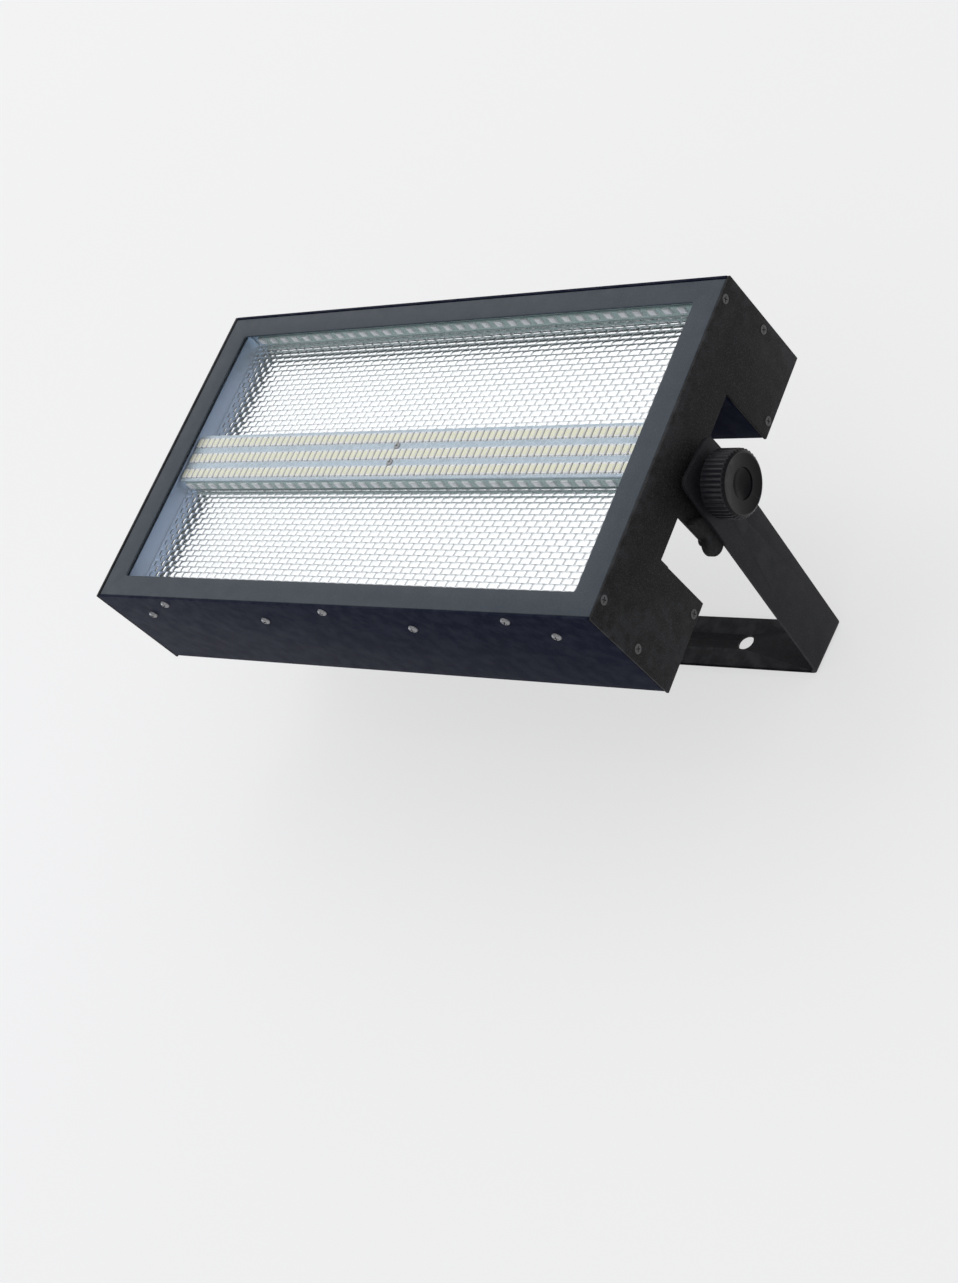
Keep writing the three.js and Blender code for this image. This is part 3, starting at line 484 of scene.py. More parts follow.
class Slot(Enum):
    """Material slots of the record, and the finishes that only the scene's small pieces have."""

    YOKE = "yoke_paint"
    CASE = "case_paint"
    SIDE = "side_paint"
    BEZEL = "bezel_paint"
    GASKET = "gasket_rubber"
    GLASS = "window_glass"
    REFLECTOR = "reflector_sheet"
    REFLECTOR_END = "reflector_end_sheet"
    LAMP_BAR = "lamp_bar_sheet"
    WHITE_LED = "white_led"
    COLOUR_LED = "colour_led"
    SINK = "heat_sink_aluminium"
    ZINC = "zinc_steel"
    FRICTION = "friction_rubber"
    KNOB = "knob_plastic"
    BUFFER = "buffer_rubber"
    FAN = "fan_plastic"
    GUARD = "guard_steel"
    PANEL = "panel_plastic"
    SCREEN = "display_screen"
    CIRCUIT = "circuit_board"
    KEY = "key_plastic"
    POWER_IN = "power_in_plastic"
    POWER_OUT = "power_out_plastic"
    SUPPLY = "supply_sheet"
    REFLECTOR_WALL = "reflector_wall"
    PHOSPHOR = "phosphor_gel"
    LED_BOARD = "led_board_mask"
    LED_BED = "led_bed_mask"
    STRIP_BOARD = "strip_board_mask"
    SOLDER = "solder"
    CLEAR_GEL = "clear_gel"
    SCREW = "screw_steel"
    BLACK_SCREW = "screw_black"
    SCREW_RECESS = "screw_recess"
    KNOB_RIBS = "knob_ribs"


EVEN = (1.0, 1.0, 1.0)
ACROSS = (1.0, 0.05, 1.0)
FINISHES = {
    Slot.YOKE: PowderCoat((0.015, 0.015, 0.018), (0.05, 0.05, 0.055), 0.56, gloss=0.2),
    Slot.CASE: PowderCoat((0.0072, 0.0096, 0.026), (0.035, 0.04, 0.06), gloss=0.02),
    # Side plates: their paler edge colour is partly wear and partly a painted highlight along the edges.
    Slot.SIDE: PowderCoat((0.016, 0.0145, 0.0145), (0.09, 0.095, 0.1), gloss=0.08),
    Slot.BEZEL: PowderCoat((0.043, 0.058, 0.076), (0.1, 0.115, 0.135), gloss=0.3, relief=0.012),
    Slot.GASKET: Rubber((0.012, 0.012, 0.013), (0.03, 0.03, 0.03)),
    Slot.GLASS: WindowPane((0.75, 0.85, 0.86), 0.01, 0.34),
    Slot.REFLECTOR: BareMetal((0.81, 0.825, 0.84), (0.78, 0.795, 0.81), 0.075, relief=0.0),
    # End sheets: plain sheet metal with a strong blue tint that is a painted reflection of its surroundings.
    Slot.REFLECTOR_END: BareMetal((0.43, 0.545, 0.77), (0.42, 0.53, 0.75), 0.4, stretch=ACROSS, relief=0.001),
    # Plain outer wall, lip and flange: bare sheet with a cyan tint that is a painted reflection of the teal
    # colour strips.
    Slot.REFLECTOR_WALL: BareMetal((0.86, 0.97, 0.98), (0.82, 0.94, 0.95), 0.34),
    Slot.LAMP_BAR: BareMetal((0.82, 0.88, 0.92), (0.76, 0.82, 0.86), 0.34),
    Slot.WHITE_LED: MouldedPlastic((0.97, 0.97, 0.97), (0.98, 0.98, 0.98), 0.35, relief=0.005),
    Slot.COLOUR_LED: MouldedPlastic((0.78, 0.8, 0.8), (0.85, 0.86, 0.86), 0.4, relief=0.005),
    Slot.SINK: BareMetal((0.6, 0.62, 0.64), (0.45, 0.47, 0.49), 0.4),
    Slot.ZINC: BareMetal((0.66, 0.67, 0.69), (0.5, 0.51, 0.53), 0.3, stretch=EVEN),
    Slot.FRICTION: Rubber((0.016, 0.016, 0.016), (0.04, 0.04, 0.04)),
    # Knob: its paler edge colour is a painted highlight on rib edges and rims, partly wear.
    Slot.KNOB: MouldedPlastic((0.0045, 0.004, 0.0052), (0.05, 0.05, 0.055), 0.3, gloss=0.14),
    Slot.BUFFER: Rubber((0.014, 0.014, 0.015), (0.04, 0.04, 0.042)),
    Slot.FAN: MouldedPlastic((0.015, 0.015, 0.016), (0.04, 0.04, 0.042), 0.4),
    Slot.GUARD: BareMetal((0.2, 0.2, 0.21), (0.12, 0.12, 0.13), 0.35, stretch=EVEN),
    Slot.PANEL: MouldedPlastic((0.02, 0.02, 0.022), (0.06, 0.06, 0.062)),
    Slot.SCREEN: DarkScreen((0.008, 0.02, 0.035), (0.014, 0.035, 0.055)),
    Slot.CIRCUIT: CircuitBoard((0.02, 0.13, 0.06), (0.05, 0.22, 0.1)),
    Slot.KEY: MouldedPlastic((0.03, 0.03, 0.032), (0.08, 0.08, 0.082)),
    Slot.POWER_IN: MouldedPlastic((0.02, 0.09, 0.33), (0.1, 0.2, 0.45)),
    Slot.POWER_OUT: MouldedPlastic((0.25, 0.27, 0.29), (0.4, 0.41, 0.43)),
    Slot.SUPPLY: BareMetal((0.6, 0.61, 0.62), (0.5, 0.51, 0.52), 0.35),
    Slot.PHOSPHOR: Phosphor((1.0, 0.99, 0.78), (0.99, 0.965, 0.7)),
    Slot.LED_BOARD: CircuitBoard((0.55, 0.67, 0.78), (0.6, 0.72, 0.83), 5.0),
    # A dark olive band under each row of white LEDs: painted shade in the gaps between packages.
    Slot.LED_BED: CircuitBoard((0.26, 0.23, 0.18), (0.3, 0.27, 0.22), 4.0),
    Slot.STRIP_BOARD: CircuitBoard((0.43, 0.58, 0.57), (0.5, 0.64, 0.63), 4.0),
    Slot.SOLDER: BareMetal((0.75, 0.76, 0.78), (0.6, 0.62, 0.64), 0.3, stretch=EVEN),
    Slot.CLEAR_GEL: MouldedPlastic((0.94, 0.95, 0.99), (0.9, 0.92, 0.97), 0.3, relief=0.004),
    Slot.SCREW: BareMetal((0.34, 0.34, 0.35), (0.2, 0.2, 0.21), 0.35, stretch=EVEN),
    Slot.BLACK_SCREW: BareMetal((0.11, 0.11, 0.112), (0.05, 0.05, 0.052), 0.35, stretch=EVEN),
    # Near-black finish inside screw recesses: painted shade.
    Slot.SCREW_RECESS: BareMetal((0.03, 0.03, 0.032), (0.02, 0.02, 0.022), 0.5, stretch=EVEN),
    # A paler, glossier copy of the knob's plastic: painted highlight on rib crests and the face's ridge.
    Slot.KNOB_RIBS: MouldedPlastic((0.014, 0.014, 0.018), (0.12, 0.12, 0.13), 0.34, gloss=0.3),
}


class FinishShelf:
    """Makes each finish once, when a piece first asks for it."""

    def __init__(self) -> None:
        """Starts with no material made."""
        self.made: dict[Slot, bpy.types.Material] = {}

    def get(self, slot: Slot) -> bpy.types.Material:
        """Finds a slot's material, or makes it.

        Args:
            slot: the slot.

        Returns:
            The material.
        """
        if slot not in self.made:
            self.made[slot] = FINISHES[slot].build(slot.value)
        return self.made[slot]


def ring_points(radius: float, count: int, height: float = 0.0) -> list[Vector]:
    """Points of a circle around z.

    Args:
        radius: the circle's radius.
        count: how many points.
        height: their z.

    Returns:
        The points, counter-clockwise seen from +z.
    """
    angles = [2 * math.pi * k / count for k in range(count)]
    return [Vector((radius * math.cos(a), radius * math.sin(a), height)) for a in angles]


def arc(centre: tuple[float, float], radius: float, start: float, end: float, steps: int) -> Outline:
    """Points along an arc from start to end, in degrees, both ends included."""
    angles = [math.radians(start + (end - start) * k / steps) for k in range(steps + 1)]
    return [(centre[0] + radius * math.cos(a), centre[1] + radius * math.sin(a)) for a in angles]


def rounded_rectangle(width: float, height: float, radius: float, steps: int = 6) -> Outline:
    """Outline of a rectangle with round corners, centred on zero.

    Args:
        width: its size along x.
        height: its size along y.
        radius: radius of its corners.
        steps: how many sides a corner has.

    Returns:
        The points, counter-clockwise.
    """
    w, h = width / 2 - radius, height / 2 - radius
    corners = (((w, h), 0), ((-w, h), 90), ((-w, -h), 180), ((w, -h), 270))
    return [point for centre, start in corners for point in arc(centre, radius, start, start + 90, steps)]


def circle(radius: float, x: float = 0.0, y: float = 0.0, sides: int = 40) -> Outline:
    """Outline of a circle in x and y."""
    return [(x + p.x, y + p.y) for p in ring_points(radius, sides)]


def centred(count: int, pitch: float) -> list[float]:
    """Places of a row of count pieces, a pitch apart and centred on zero."""
    return [(k - (count - 1) / 2) * pitch for k in range(count)]


class Draft:
    """A mesh being drawn in millimetres, with a material number on each face."""

    def __init__(self) -> None:
        """Starts with an empty mesh."""
        self.mesh = bmesh.new()

    def loft(
        self, rings: Sequence[Sequence[Vector]], closed: bool = True, finish: int = 0, caps: bool = False,
    ) -> "Draft":
        """Joins rings of equally many points by quads.

        Args:
            rings: the rings, in order.
            closed: whether each ring closes on itself.
            finish: material number of the faces.
            caps: whether the first and the last ring are filled.

        Returns:
            The draft itself.
        """
        rows = [[self.mesh.verts.new(p) for p in ring] for ring in rings]
        count = len(rows[0])
        for low, high in zip(rows, rows[1:]):
            for k in range(count if closed else count - 1):
                after = (k + 1) % count
                self.mesh.faces.new((low[k], low[after], high[after], high[k])).material_index = finish
        if caps:
            self.mesh.faces.new(list(reversed(rows[0]))).material_index = finish
            self.mesh.faces.new(rows[-1]).material_index = finish
        return self

    def lathe(self, profile: Profile, sides: int = 48, finish: int = 0) -> "Draft":
        """Turns a profile about z; an end on the axis closes the form.

        Args:
            profile: its points as (radius, z).
            sides: how many sides a turn has.
            finish: material number of the faces.

        Returns:
            The draft itself.
        """
        rings = [ring_points(max(radius, 1e-7), sides, along) for radius, along in profile]
        return self.loft(rings, finish=finish).clean()

    def prism(self, outline: Profile, low: float, high: float, finish: int = 0) -> "Draft":
        """Extrudes an outline in x and y from z = low to z = high."""
        rings = [[Vector((a, b, z)) for a, b in outline] for z in (low, high)]
        return self.loft(rings, finish=finish, caps=True)

    def plate(
        self, outline: Profile, holes: Sequence[Profile], low: float, high: float, finish: int = 0,
    ) -> "Draft":
        """Adds a flat plate with holes.

        Args:
            outline: its outline in x and y.
            holes: outlines of its holes.
            low: z of its rear face.
            high: z of its front face.
            finish: material number of the faces.

        Returns:
            The draft itself.
        """
        made, borders = [], ([], [])
        for loop in (outline, *holes):
            rings = [[self.mesh.verts.new((a, b, z)) for a, b in loop] for z in (low, high)]
            for k in range(len(loop)):
                wall = (rings[0][k - 1], rings[0][k], rings[1][k], rings[1][k - 1])
                made.append(self.mesh.faces.new(wall))
                for border, ring in zip(borders, rings):
                    border.append(self.mesh.edges.get((ring[k - 1], ring[k])))
        for border in borders:
            filled = bmesh.ops.triangle_fill(self.mesh, edges=border, use_beauty=True)["geom"]
            made += [item for item in filled if isinstance(item, bmesh.types.BMFace)]
        for face in made:
            face.material_index = finish
        bmesh.ops.recalc_face_normals(self.mesh, faces=made)
        return self

    def wire(self, path: Sequence[Vector], radius: float, closed: bool = False, sides: int = 12) -> "Draft":
        """Adds a round wire along a path that runs across z.

        Args:
            path: the middle line's points.
            radius: the wire's radius.
            closed: whether the wire closes on itself.
            sides: how many sides its section has.

        Returns:
            The draft itself.
        """
        up, count, rings = Vector((0, 0, 1)), len(path), []
        for k, point in enumerate(path):
            after = path[(k + 1) % count] if closed else path[min(k + 1, count - 1)]
            before = path[k - 1] if closed else path[max(k - 1, 0)]
            across = up.cross(after - before).normalized()
            rings.append([point + across * p.x + up * p.y for p in ring_points(radius, sides)])
        self.loft(rings + rings[:1] if closed else rings, caps=not closed)
        return self.clean() if closed else self

    def clean(self) -> "Draft":
        """Merges points that fall together and drops what has no area.

        Returns:
            The draft itself.
        """
        bmesh.ops.remove_doubles(self.mesh, verts=self.mesh.verts, dist=1e-4)
        bmesh.ops.dissolve_degenerate(self.mesh, edges=self.mesh.edges, dist=1e-5)
        return self

    def bevel(self, width: float, segments: int = 2, angle: float = 35.0) -> "Draft":
        """Rounds sharp edges.

        Args:
            width: width of the rounding.
            segments: faces across it.
            angle: edges that turn by more degrees than this are rounded.

        Returns:
            The draft itself.
        """
        limit = math.radians(angle)
        sharp = [e for e in self.mesh.edges if e.is_manifold and e.calc_face_angle() > limit]
        bmesh.ops.bevel(
            self.mesh, geom=sharp, offset=width, segments=segments, profile=0.5, affect="EDGES",
            clamp_overlap=True,
        )
        return self

    def outward(self) -> "Draft":
        """Turns all faces outward."""
        bmesh.ops.recalc_face_normals(self.mesh, faces=self.mesh.faces)
        return self

    def turned(self, matrix: Matrix) -> "Draft":
        """Moves the whole draft.

        Args:
            matrix: the move, which may hold a turn, a scale or a mirroring.

        Returns:
            The draft itself.
        """
        self.mesh.transform(matrix)
        if matrix.determinant() < 0:
            bmesh.ops.reverse_faces(self.mesh, faces=self.mesh.faces)
        return self

    def stamp(self, pattern: "Draft", places: Sequence[Matrix]) -> "Draft":
        """Adds copies of a pattern.

        Args:
            pattern: the pattern.
            places: the placement of each copy.

        Returns:
            The draft itself.
        """
        data = bpy.data.meshes.new("pattern")
        pattern.mesh.to_mesh(data)
        for place in places:
            copy = data.copy()
            copy.transform(place)
            self.mesh.from_mesh(copy)
            bpy.data.meshes.remove(copy)
        bpy.data.meshes.remove(data)
        return self


class ScrewHead(Enum):
    """Kinds of screw head."""

    COUNTERSUNK = "countersunk"
    PAN = "pan"


@dataclass(frozen=True)
class Screw:
    """A cross-head screw, seen from outside, drawn on z = 0 and pointing its head to +z."""

    head: ScrewHead
    radius: float
    height: float
    slot_reach: float
    slot_width: float
    slot_depth: float
    sides: int = 32

    def draft(self) -> Draft:
        """Draws the head with its recess.

        Returns:
            The draft.
        """
        draft = Draft()
        reach, half = self.slot_reach, self.slot_width / 2
        cross = [
            (reach, -half), (reach, half), (half, half), (half, reach), (-half, reach), (-half, half),
            (-reach, half), (-reach, -half), (-half, -half), (-half, -reach), (half, -reach), (half, -half),
        ]
        if self.head is ScrewHead.COUNTERSUNK:
            radius, height = self.radius, self.height
            profile = [(radius, 0.0), (radius, 0.6 * height), (0.93 * radius, height), (1.35 * reach, height)]
        else:
            dome = arc((0.45 * self.radius, 0.0), 0.55 * self.radius, 0.0, 78.0, 6)
            rise = self.height / dome[-1][1]
            profile = [(a, b * rise) for a, b in dome]
        draft.loft([ring_points(a, self.sides, b) for a, b in profile])
        edge, top = profile[-1]
        rim = [v for v in draft.mesh.verts if abs(v.co.z - top) < 1e-6 and v.co.xy.length < edge + 1e-6]
        border = [e for e in draft.mesh.edges if all(v in rim for v in e.verts)]
        mouth = [draft.mesh.verts.new((a, b, top)) for a, b in cross]
        mouth_edges = [draft.mesh.edges.new((mouth[k - 1], mouth[k])) for k in range(len(mouth))]
        bmesh.ops.triangle_fill(draft.mesh, edges=border + mouth_edges, use_beauty=True)
        floor = [draft.mesh.verts.new((0.8 * a, 0.8 * b, top - self.slot_depth)) for a, b in cross]
        for k in range(len(mouth)):
            # The cross recess takes the near-black second finish: painted shade inside it.
            draft.mesh.faces.new((mouth[k - 1], mouth[k], floor[k], floor[k - 1])).material_index = 1
        draft.mesh.faces.new(floor).material_index = 1
        return draft.outward()


@dataclass
class Workshop:
    """What every sub-assembly works with: the frame, its places and the finishes."""

    frame: dict
    pivot_depth: float = 42.5
    shelf: FinishShelf = field(default_factory=FinishShelf)

    def joint(self, name: str) -> dict:
        """The record's entry of a joint."""
        return next(j for j in self.frame["record"]["behaviour"]["joints"] if j["name"] == name)

    def body(self, node: str) -> str:
        """The body that holds a node."""
        bodies = self.frame["record"]["behaviour"]["bodies"]
        return next(name for name, nodes in bodies.items() if node in nodes)

    def slot(self, node: str) -> Slot:
        """The material slot of a node."""
        parts = self.frame["record"]["subparts"]
        return Slot(next(p["material_slot"] for p in parts if p["node"] == node))

    @property
    def pivot(self) -> Vector:
        """The middle of the tilt axis, in metres."""
        return Vector(self.joint("head_tilt")["pos_m"])

    @property
    def tilt(self) -> float:
        """How far the head is tilted at rest, in radians."""
        inward = Vector(self.joint("key_1_press")["axis"])
        return math.atan2(-inward.y, inward.z)

    @property
    def axle(self) -> Matrix:
        """Placement of what is drawn in millimetres about the tilt axis, tilted with the head."""
        turn = Matrix.Rotation(self.tilt, 4, "X")
        return Matrix.Translation(self.pivot) @ turn @ Matrix.Scale(MILLIMETRE, 4)

    @property
    def face(self) -> Matrix:
        """Placement of what is drawn in the face frame, whose z = 0 lies pivot_depth before the axis."""
        return self.axle @ Matrix.Translation((0, 0, self.pivot_depth))

    def beside(self, side: Side) -> Matrix:
        """Placement of what is drawn about the tilt axis with z from the head's middle to one side."""
        return self.axle @ Matrix.Rotation(side.value * math.pi / 2, 4, "Y")

    def piece(
        self, draft: Draft, name: str, place: Matrix, slots: Sequence[Slot], body: str,
        replaces: Sequence[str] = (), smooth: float = 32.0,
    ) -> None:
        """Makes an object of a draft and fastens it to a body.

        Args:
            draft: the mesh, in millimetres.
            name: the object's name.
            place: placement that takes the draft to the shared frame, in metres.
            slots: finishes by material number; the first is the piece's own slot.
            body: body that it rides on.
            replaces: CAD nodes that it stands for.
            smooth: angle in degrees above which an edge stays sharp.
        """
        draft.turned(place)
        data = bpy.data.meshes.new(name)
        draft.mesh.to_mesh(data)
        draft.mesh.free()
        data.shade_smooth()
        data.set_sharp_from_angle(angle=math.radians(smooth))
        for slot in slots:
            data.materials.append(self.shelf.get(slot))
        thing = bpy.data.objects.new(name, data)
        bpy.context.scene.collection.objects.link(thing)
        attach(thing, body)
        if replaces:
            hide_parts(*replaces)
        log.info("%s: %d faces", name, len(data.polygons))

    def stand_in(
        self, draft: Draft, node: str, word: str, place: Matrix, slots: Sequence[Slot] = (),
        smooth: float = 32.0,
    ) -> None:
        """Makes the piece that replaces one CAD node, on the node's body.

        Args:
            draft: the mesh, in millimetres.
            node: the node.
            word: how the piece is made, which ends its name.
            place: placement that takes the draft to the shared frame, in metres.
            slots: finishes by material number; by default the node's own slot.
            smooth: angle in degrees above which an edge stays sharp.
        """
        finishes = slots or [self.slot(node)]
        self.piece(draft, f"{node}_{word}", place, finishes, self.body(node), [node], smooth)

    def screws(
        self, name: str, screw: Screw, spots: Sequence[Matrix], place: Matrix, body: str,
        finish: Slot = Slot.SCREW,
    ) -> None:
        """Sets equal screws as one piece.

        Args:
            name: the piece's name.
            screw: the screw.
            spots: each screw's placement, in millimetres.
            place: placement that takes them to the shared frame, in metres.
            body: body that they ride on.
            finish: finish of their heads.
        """
        heads = Draft().stamp(screw.draft(), spots)
        self.piece(heads, name, place, [finish, Slot.SCREW_RECESS], body)

    def dressed(self, node: str) -> None:
        """Gives a CAD node that stays as it is its finish.

        Args:
            node: the node.
        """
        thing = self.frame["nodes"][node]
        for place in thing.material_slots:
            place.material = self.shelf.get(self.slot(node))
        log.info("%s: CAD node dressed", node)

    def softened(self, node: str, width: float, segments: int = 2) -> None:
        """Replaces a CAD node by a copy of itself with rounded edges.

        Args:
            node: the node.
            width: width of the rounding, in millimetres.
            segments: faces across it.
        """
        draft = Draft()
        draft.mesh.from_mesh(self.frame["nodes"][node].data)
        draft.turned(Matrix.Scale(1 / MILLIMETRE, 4))
        bmesh.ops.remove_doubles(draft.mesh, verts=draft.mesh.verts, dist=1e-3)
        bmesh.ops.dissolve_limit(
            draft.mesh, angle_limit=math.radians(0.6), verts=draft.mesh.verts, edges=draft.mesh.edges,
        )
        for face in draft.mesh.faces:
            face.material_index = 0
        draft.bevel(width, segments)
        self.stand_in(draft, node, "skin", Matrix.Scale(MILLIMETRE, 4))


@dataclass
class Studio:
    """Camera, lamps and floor. The camera was fitted to the corners of the head in the photograph."""

    camera_place: Vector = field(default_factory=lambda: Vector((0.9499, -0.6364, 0.9048)))
    camera_forward: Vector = field(default_factory=lambda: Vector((-0.6755, 0.4379, -0.5933)))
    camera_up: Vector = field(default_factory=lambda: Vector((-0.0284, 0.7886, 0.6143)))
    image_width_px: float = 958.0
    image_height_px: float = 1283.0
    focal_px: float = 2179.7
    centre_x_px: float = 484.36
    centre_y_px: float = 593.34
    floor_size: float = 14.0
    floor_seen: Colour = (0.36, 0.362, 0.365)
    floor_bounce: Colour = (0.42, 0.43, 0.47)
    floor_glow: float = 0.6
    floor_drop: float = 0.0004
    sky: float = 0.84
    key_way: Vector = field(default_factory=lambda: Vector((-0.62, 0.28, 0.73)))
    key_far: float = 4.4
    key_size: float = 4.6
    key_power: float = 60.0
    fill_way: Vector = field(default_factory=lambda: Vector((0.5, -0.62, 0.6)))
    fill_far: float = 4.2
    fill_size: float = 3.0
    fill_power: float = 14.0
    rim_place: Vector = field(default_factory=lambda: Vector((-0.75, -0.55, 0.12)))
    rim_aim: Vector = field(default_factory=lambda: Vector((-0.2, -0.1, 0.12)))
    rim_size: float = 0.25
    rim_power: float = 0.8
    lamp_aim: Vector = field(default_factory=lambda: Vector((0, 0, 0.15)))
    sky_low: float = 0.52
    sky_high: float = 0.76
    sky_turn: float = 0.35
    key_tint: Colour = (1.0, 0.995, 0.985)
    fill_tint: Colour = (0.97, 0.99, 1.0)
    rim_tint: Colour = (0.75, 0.86, 1.0)

    def camera(self) -> None:
        """Stands the camera where the photograph was taken from."""
        lens = bpy.data.cameras.new("camera")
        lens.sensor_width = 36.0
        lens.lens = self.focal_px / self.image_height_px * lens.sensor_width
        lens.shift_x = (self.image_width_px / 2 - self.centre_x_px) / self.image_height_px
        lens.shift_y = (self.centre_y_px - self.image_height_px / 2) / self.image_height_px
        lens.clip_end = 50.0
        back = -self.camera_forward.normalized()
        right = self.camera_up.cross(back).normalized()
        axes = Matrix((right, back.cross(right), back)).transposed().to_4x4()
        camera = bpy.data.objects.new("camera", lens)
        camera.matrix_world = Matrix.Translation(self.camera_place) @ axes
        bpy.context.scene.collection.objects.link(camera)
        bpy.context.scene.camera = camera

    def seen_factor(self, tree: bpy.types.NodeTree) -> Socket:
        """Adds nodes that give 1 to a ray from the camera, or one that it sees by reflection or glass.

        Args:
            tree: node tree to add them to.

        Returns:
            The factor.
        """
        path = tree.nodes.new("ShaderNodeLightPath")
        total = path.outputs["Is Camera Ray"]
        for word in ("Is Glossy Ray", "Is Transmission Ray"):
            largest = tree.nodes.new("ShaderNodeMath")
            largest.operation = "MAXIMUM"
            tree.links.new(total, largest.inputs[0])
            tree.links.new(path.outputs[word], largest.inputs[1])
            total = largest.outputs[0]
        return total

    def floor(self) -> None:
        """Lays a pale floor that takes the object's shadow but throws little light back at it."""
        half = self.floor_size / 2
        data = bpy.data.meshes.new("floor")
        corners = [(-half, -half, 0), (half, -half, 0), (half, half, 0), (-half, half, 0)]
        data.from_pydata(corners, [], [(0, 1, 2, 3)])
        sketch = NodeSketch("floor")
        sketch.set(roughness=0.9, specular_ior_level=0.0)
        deep = tuple(0.985 * c for c in self.floor_seen)
        cloud = sketch.mixed(sketch.noise(600.0, 2.0), self.floor_seen, deep)
        seen = self.seen_factor(sketch.tree)
        sketch.feed("Base Color", sketch.mixed(seen, self.floor_bounce, cloud))
        sketch.set(emission_color=(1.0, 1.0, 1.0))
        sketch.feed("Emission Strength", sketch.spread(seen, 0.0, self.floor_glow, 0.0, 1.0))
        data.materials.append(sketch.material)
        floor = bpy.data.objects.new("floor", data)
        floor.location.z = -self.floor_drop
        bpy.context.scene.collection.objects.link(floor)

    def lamp(self, name: str, place: Vector, aim: Vector, size: float, watts: float, colour: Colour) -> None:
        """Hangs a soft square lamp.

        Args:
            name: the lamp's name.
            place: where it hangs, in metres.
            aim: the point that it faces.
            size: its side, in metres.
            watts: its power.
            colour: its colour.
        """
        light = bpy.data.lights.new(name, "AREA")
        light.shape = "SQUARE"
        light.size = size
        light.energy = watts
        light.color = colour
        thing = bpy.data.objects.new(name, light)
        facing = (place - aim).to_track_quat("Z", "Y").to_matrix().to_4x4()
        thing.matrix_world = Matrix.Translation(place) @ facing
        bpy.context.scene.collection.objects.link(thing)

    def lights(self) -> None:
        """Sets the sky and the lamps."""
        world = bpy.data.worlds.new("sky")
        world.use_nodes = True
        tree = world.node_tree
        background = tree.nodes["Background"]
        place = tree.nodes.new("ShaderNodeTexCoord")
        split = tree.nodes.new("ShaderNodeSeparateXYZ")
        height = tree.nodes.new("ShaderNodeMapRange")
        tree.links.new(place.outputs["Generated"], split.inputs[0])
        tree.links.new(split.outputs["Z"], height.inputs["Value"])
        for word, value in (("From Min", self.sky_turn), ("To Min", self.sky_low), ("To Max", self.sky_high)):
            height.inputs[word].default_value = value
        tree.links.new(height.outputs["Result"], background.inputs["Strength"])
        background.inputs["Color"].default_value = (self.sky, self.sky, 1.02 * self.sky, 1.0)
        bpy.context.scene.world = world
        aim = self.lamp_aim
        key, fill = aim + self.key_far * self.key_way, aim + self.fill_far * self.fill_way
        self.lamp("key", key, aim, self.key_size, self.key_power, self.key_tint)
        self.lamp("fill", fill, aim, self.fill_size, self.fill_power, self.fill_tint)
        self.lamp("rim", self.rim_place, self.rim_aim, self.rim_size, self.rim_power, self.rim_tint)

    def build(self) -> None:
        """Makes the whole studio."""
        self.camera()
        self.floor()
        self.lights()
        bpy.context.scene.view_settings.view_transform = "Standard"
        log.info("studio stands")


@dataclass
class Case:
    """Covers, side plates, bezel and the small screws that hold them."""

    shop: Workshop
    half_width: float = 212.5
    half_height: float = 113.5
    cover_edge: float = 0.2
    edge: float = 0.6
    side_screw: Screw = Screw(ScrewHead.COUNTERSUNK, 2.9, 0.3, 1.7, 0.62, 0.9)
    cover_screw: Screw = Screw(ScrewHead.PAN, 3.1, 1.7, 1.8, 0.7, 1.1)
    side_screw_places: tuple[tuple[float, float], ...] = ((3.5, 99.3), (43.0, 106.7), (75.8, 65.2))
    front_row_depth: float = 6.0
    front_row_spread: float = 147.0
    rear_row_depth: float = 20.5
    rear_row_places: tuple[float, ...] = (64.0, 174.0)

    def shell(self) -> None:
        """Rounds the edges of the folded sheets."""
        for node in ("upper_cover", "lower_cover", "recess_panel"):
            self.shop.softened(node, self.cover_edge)
        for side in Side:
            self.shop.softened(f"side_plate_{side.word}", self.edge, 3)
        self.shop.softened("front_bezel", self.edge, 3)

    def side_screws(self) -> None:
        """Sets three countersunk screws into each end of both halves."""
        for side in Side:
            outward = Matrix.Rotation(side.value * math.pi / 2, 4, "Y")
            places = [
                Matrix.Translation((side.value * self.half_width, half.value * height, -depth))
                @ outward @ Matrix.Rotation(depth, 4, "Z")
                for depth, height in self.side_screw_places for half in Half
            ]
            name = f"side_screws_{side.word}"
            self.shop.screws(name, self.side_screw, places, self.shop.face, "head", Slot.BLACK_SCREW)

    def cover_screws(self) -> None:
        """Sets two rows of pan-head screws near the front edge of each cover."""
        row = [(-self.front_row_spread, self.front_row_depth), (0.0, self.front_row_depth)]
        row += [(self.front_row_spread, self.front_row_depth)]
        row += [(sign * x, self.rear_row_depth) for x in self.rear_row_places for sign in (-1, 1)]
        for half in Half:
            outward = Matrix.Rotation(-half.value * math.pi / 2, 4, "X")
            height = half.value * self.half_height
            places = [
                Matrix.Translation((x, height, -depth)) @ outward @ Matrix.Rotation(x, 4, "Z")
                for x, depth in row
            ]
            self.shop.screws(f"cover_screws_{half.word}", self.cover_screw, places, self.shop.face, "head")

    def build(self) -> None:
        """Makes the whole case."""
        self.shell()
        self.side_screws()
        self.cover_screws()


@dataclass
class Window:
    """Glass and gasket."""

    shop: Workshop

    def build(self) -> None:
        """Dresses the pane and its gasket."""
        self.shop.dressed("window_glass")
        self.shop.dressed("glass_gasket")


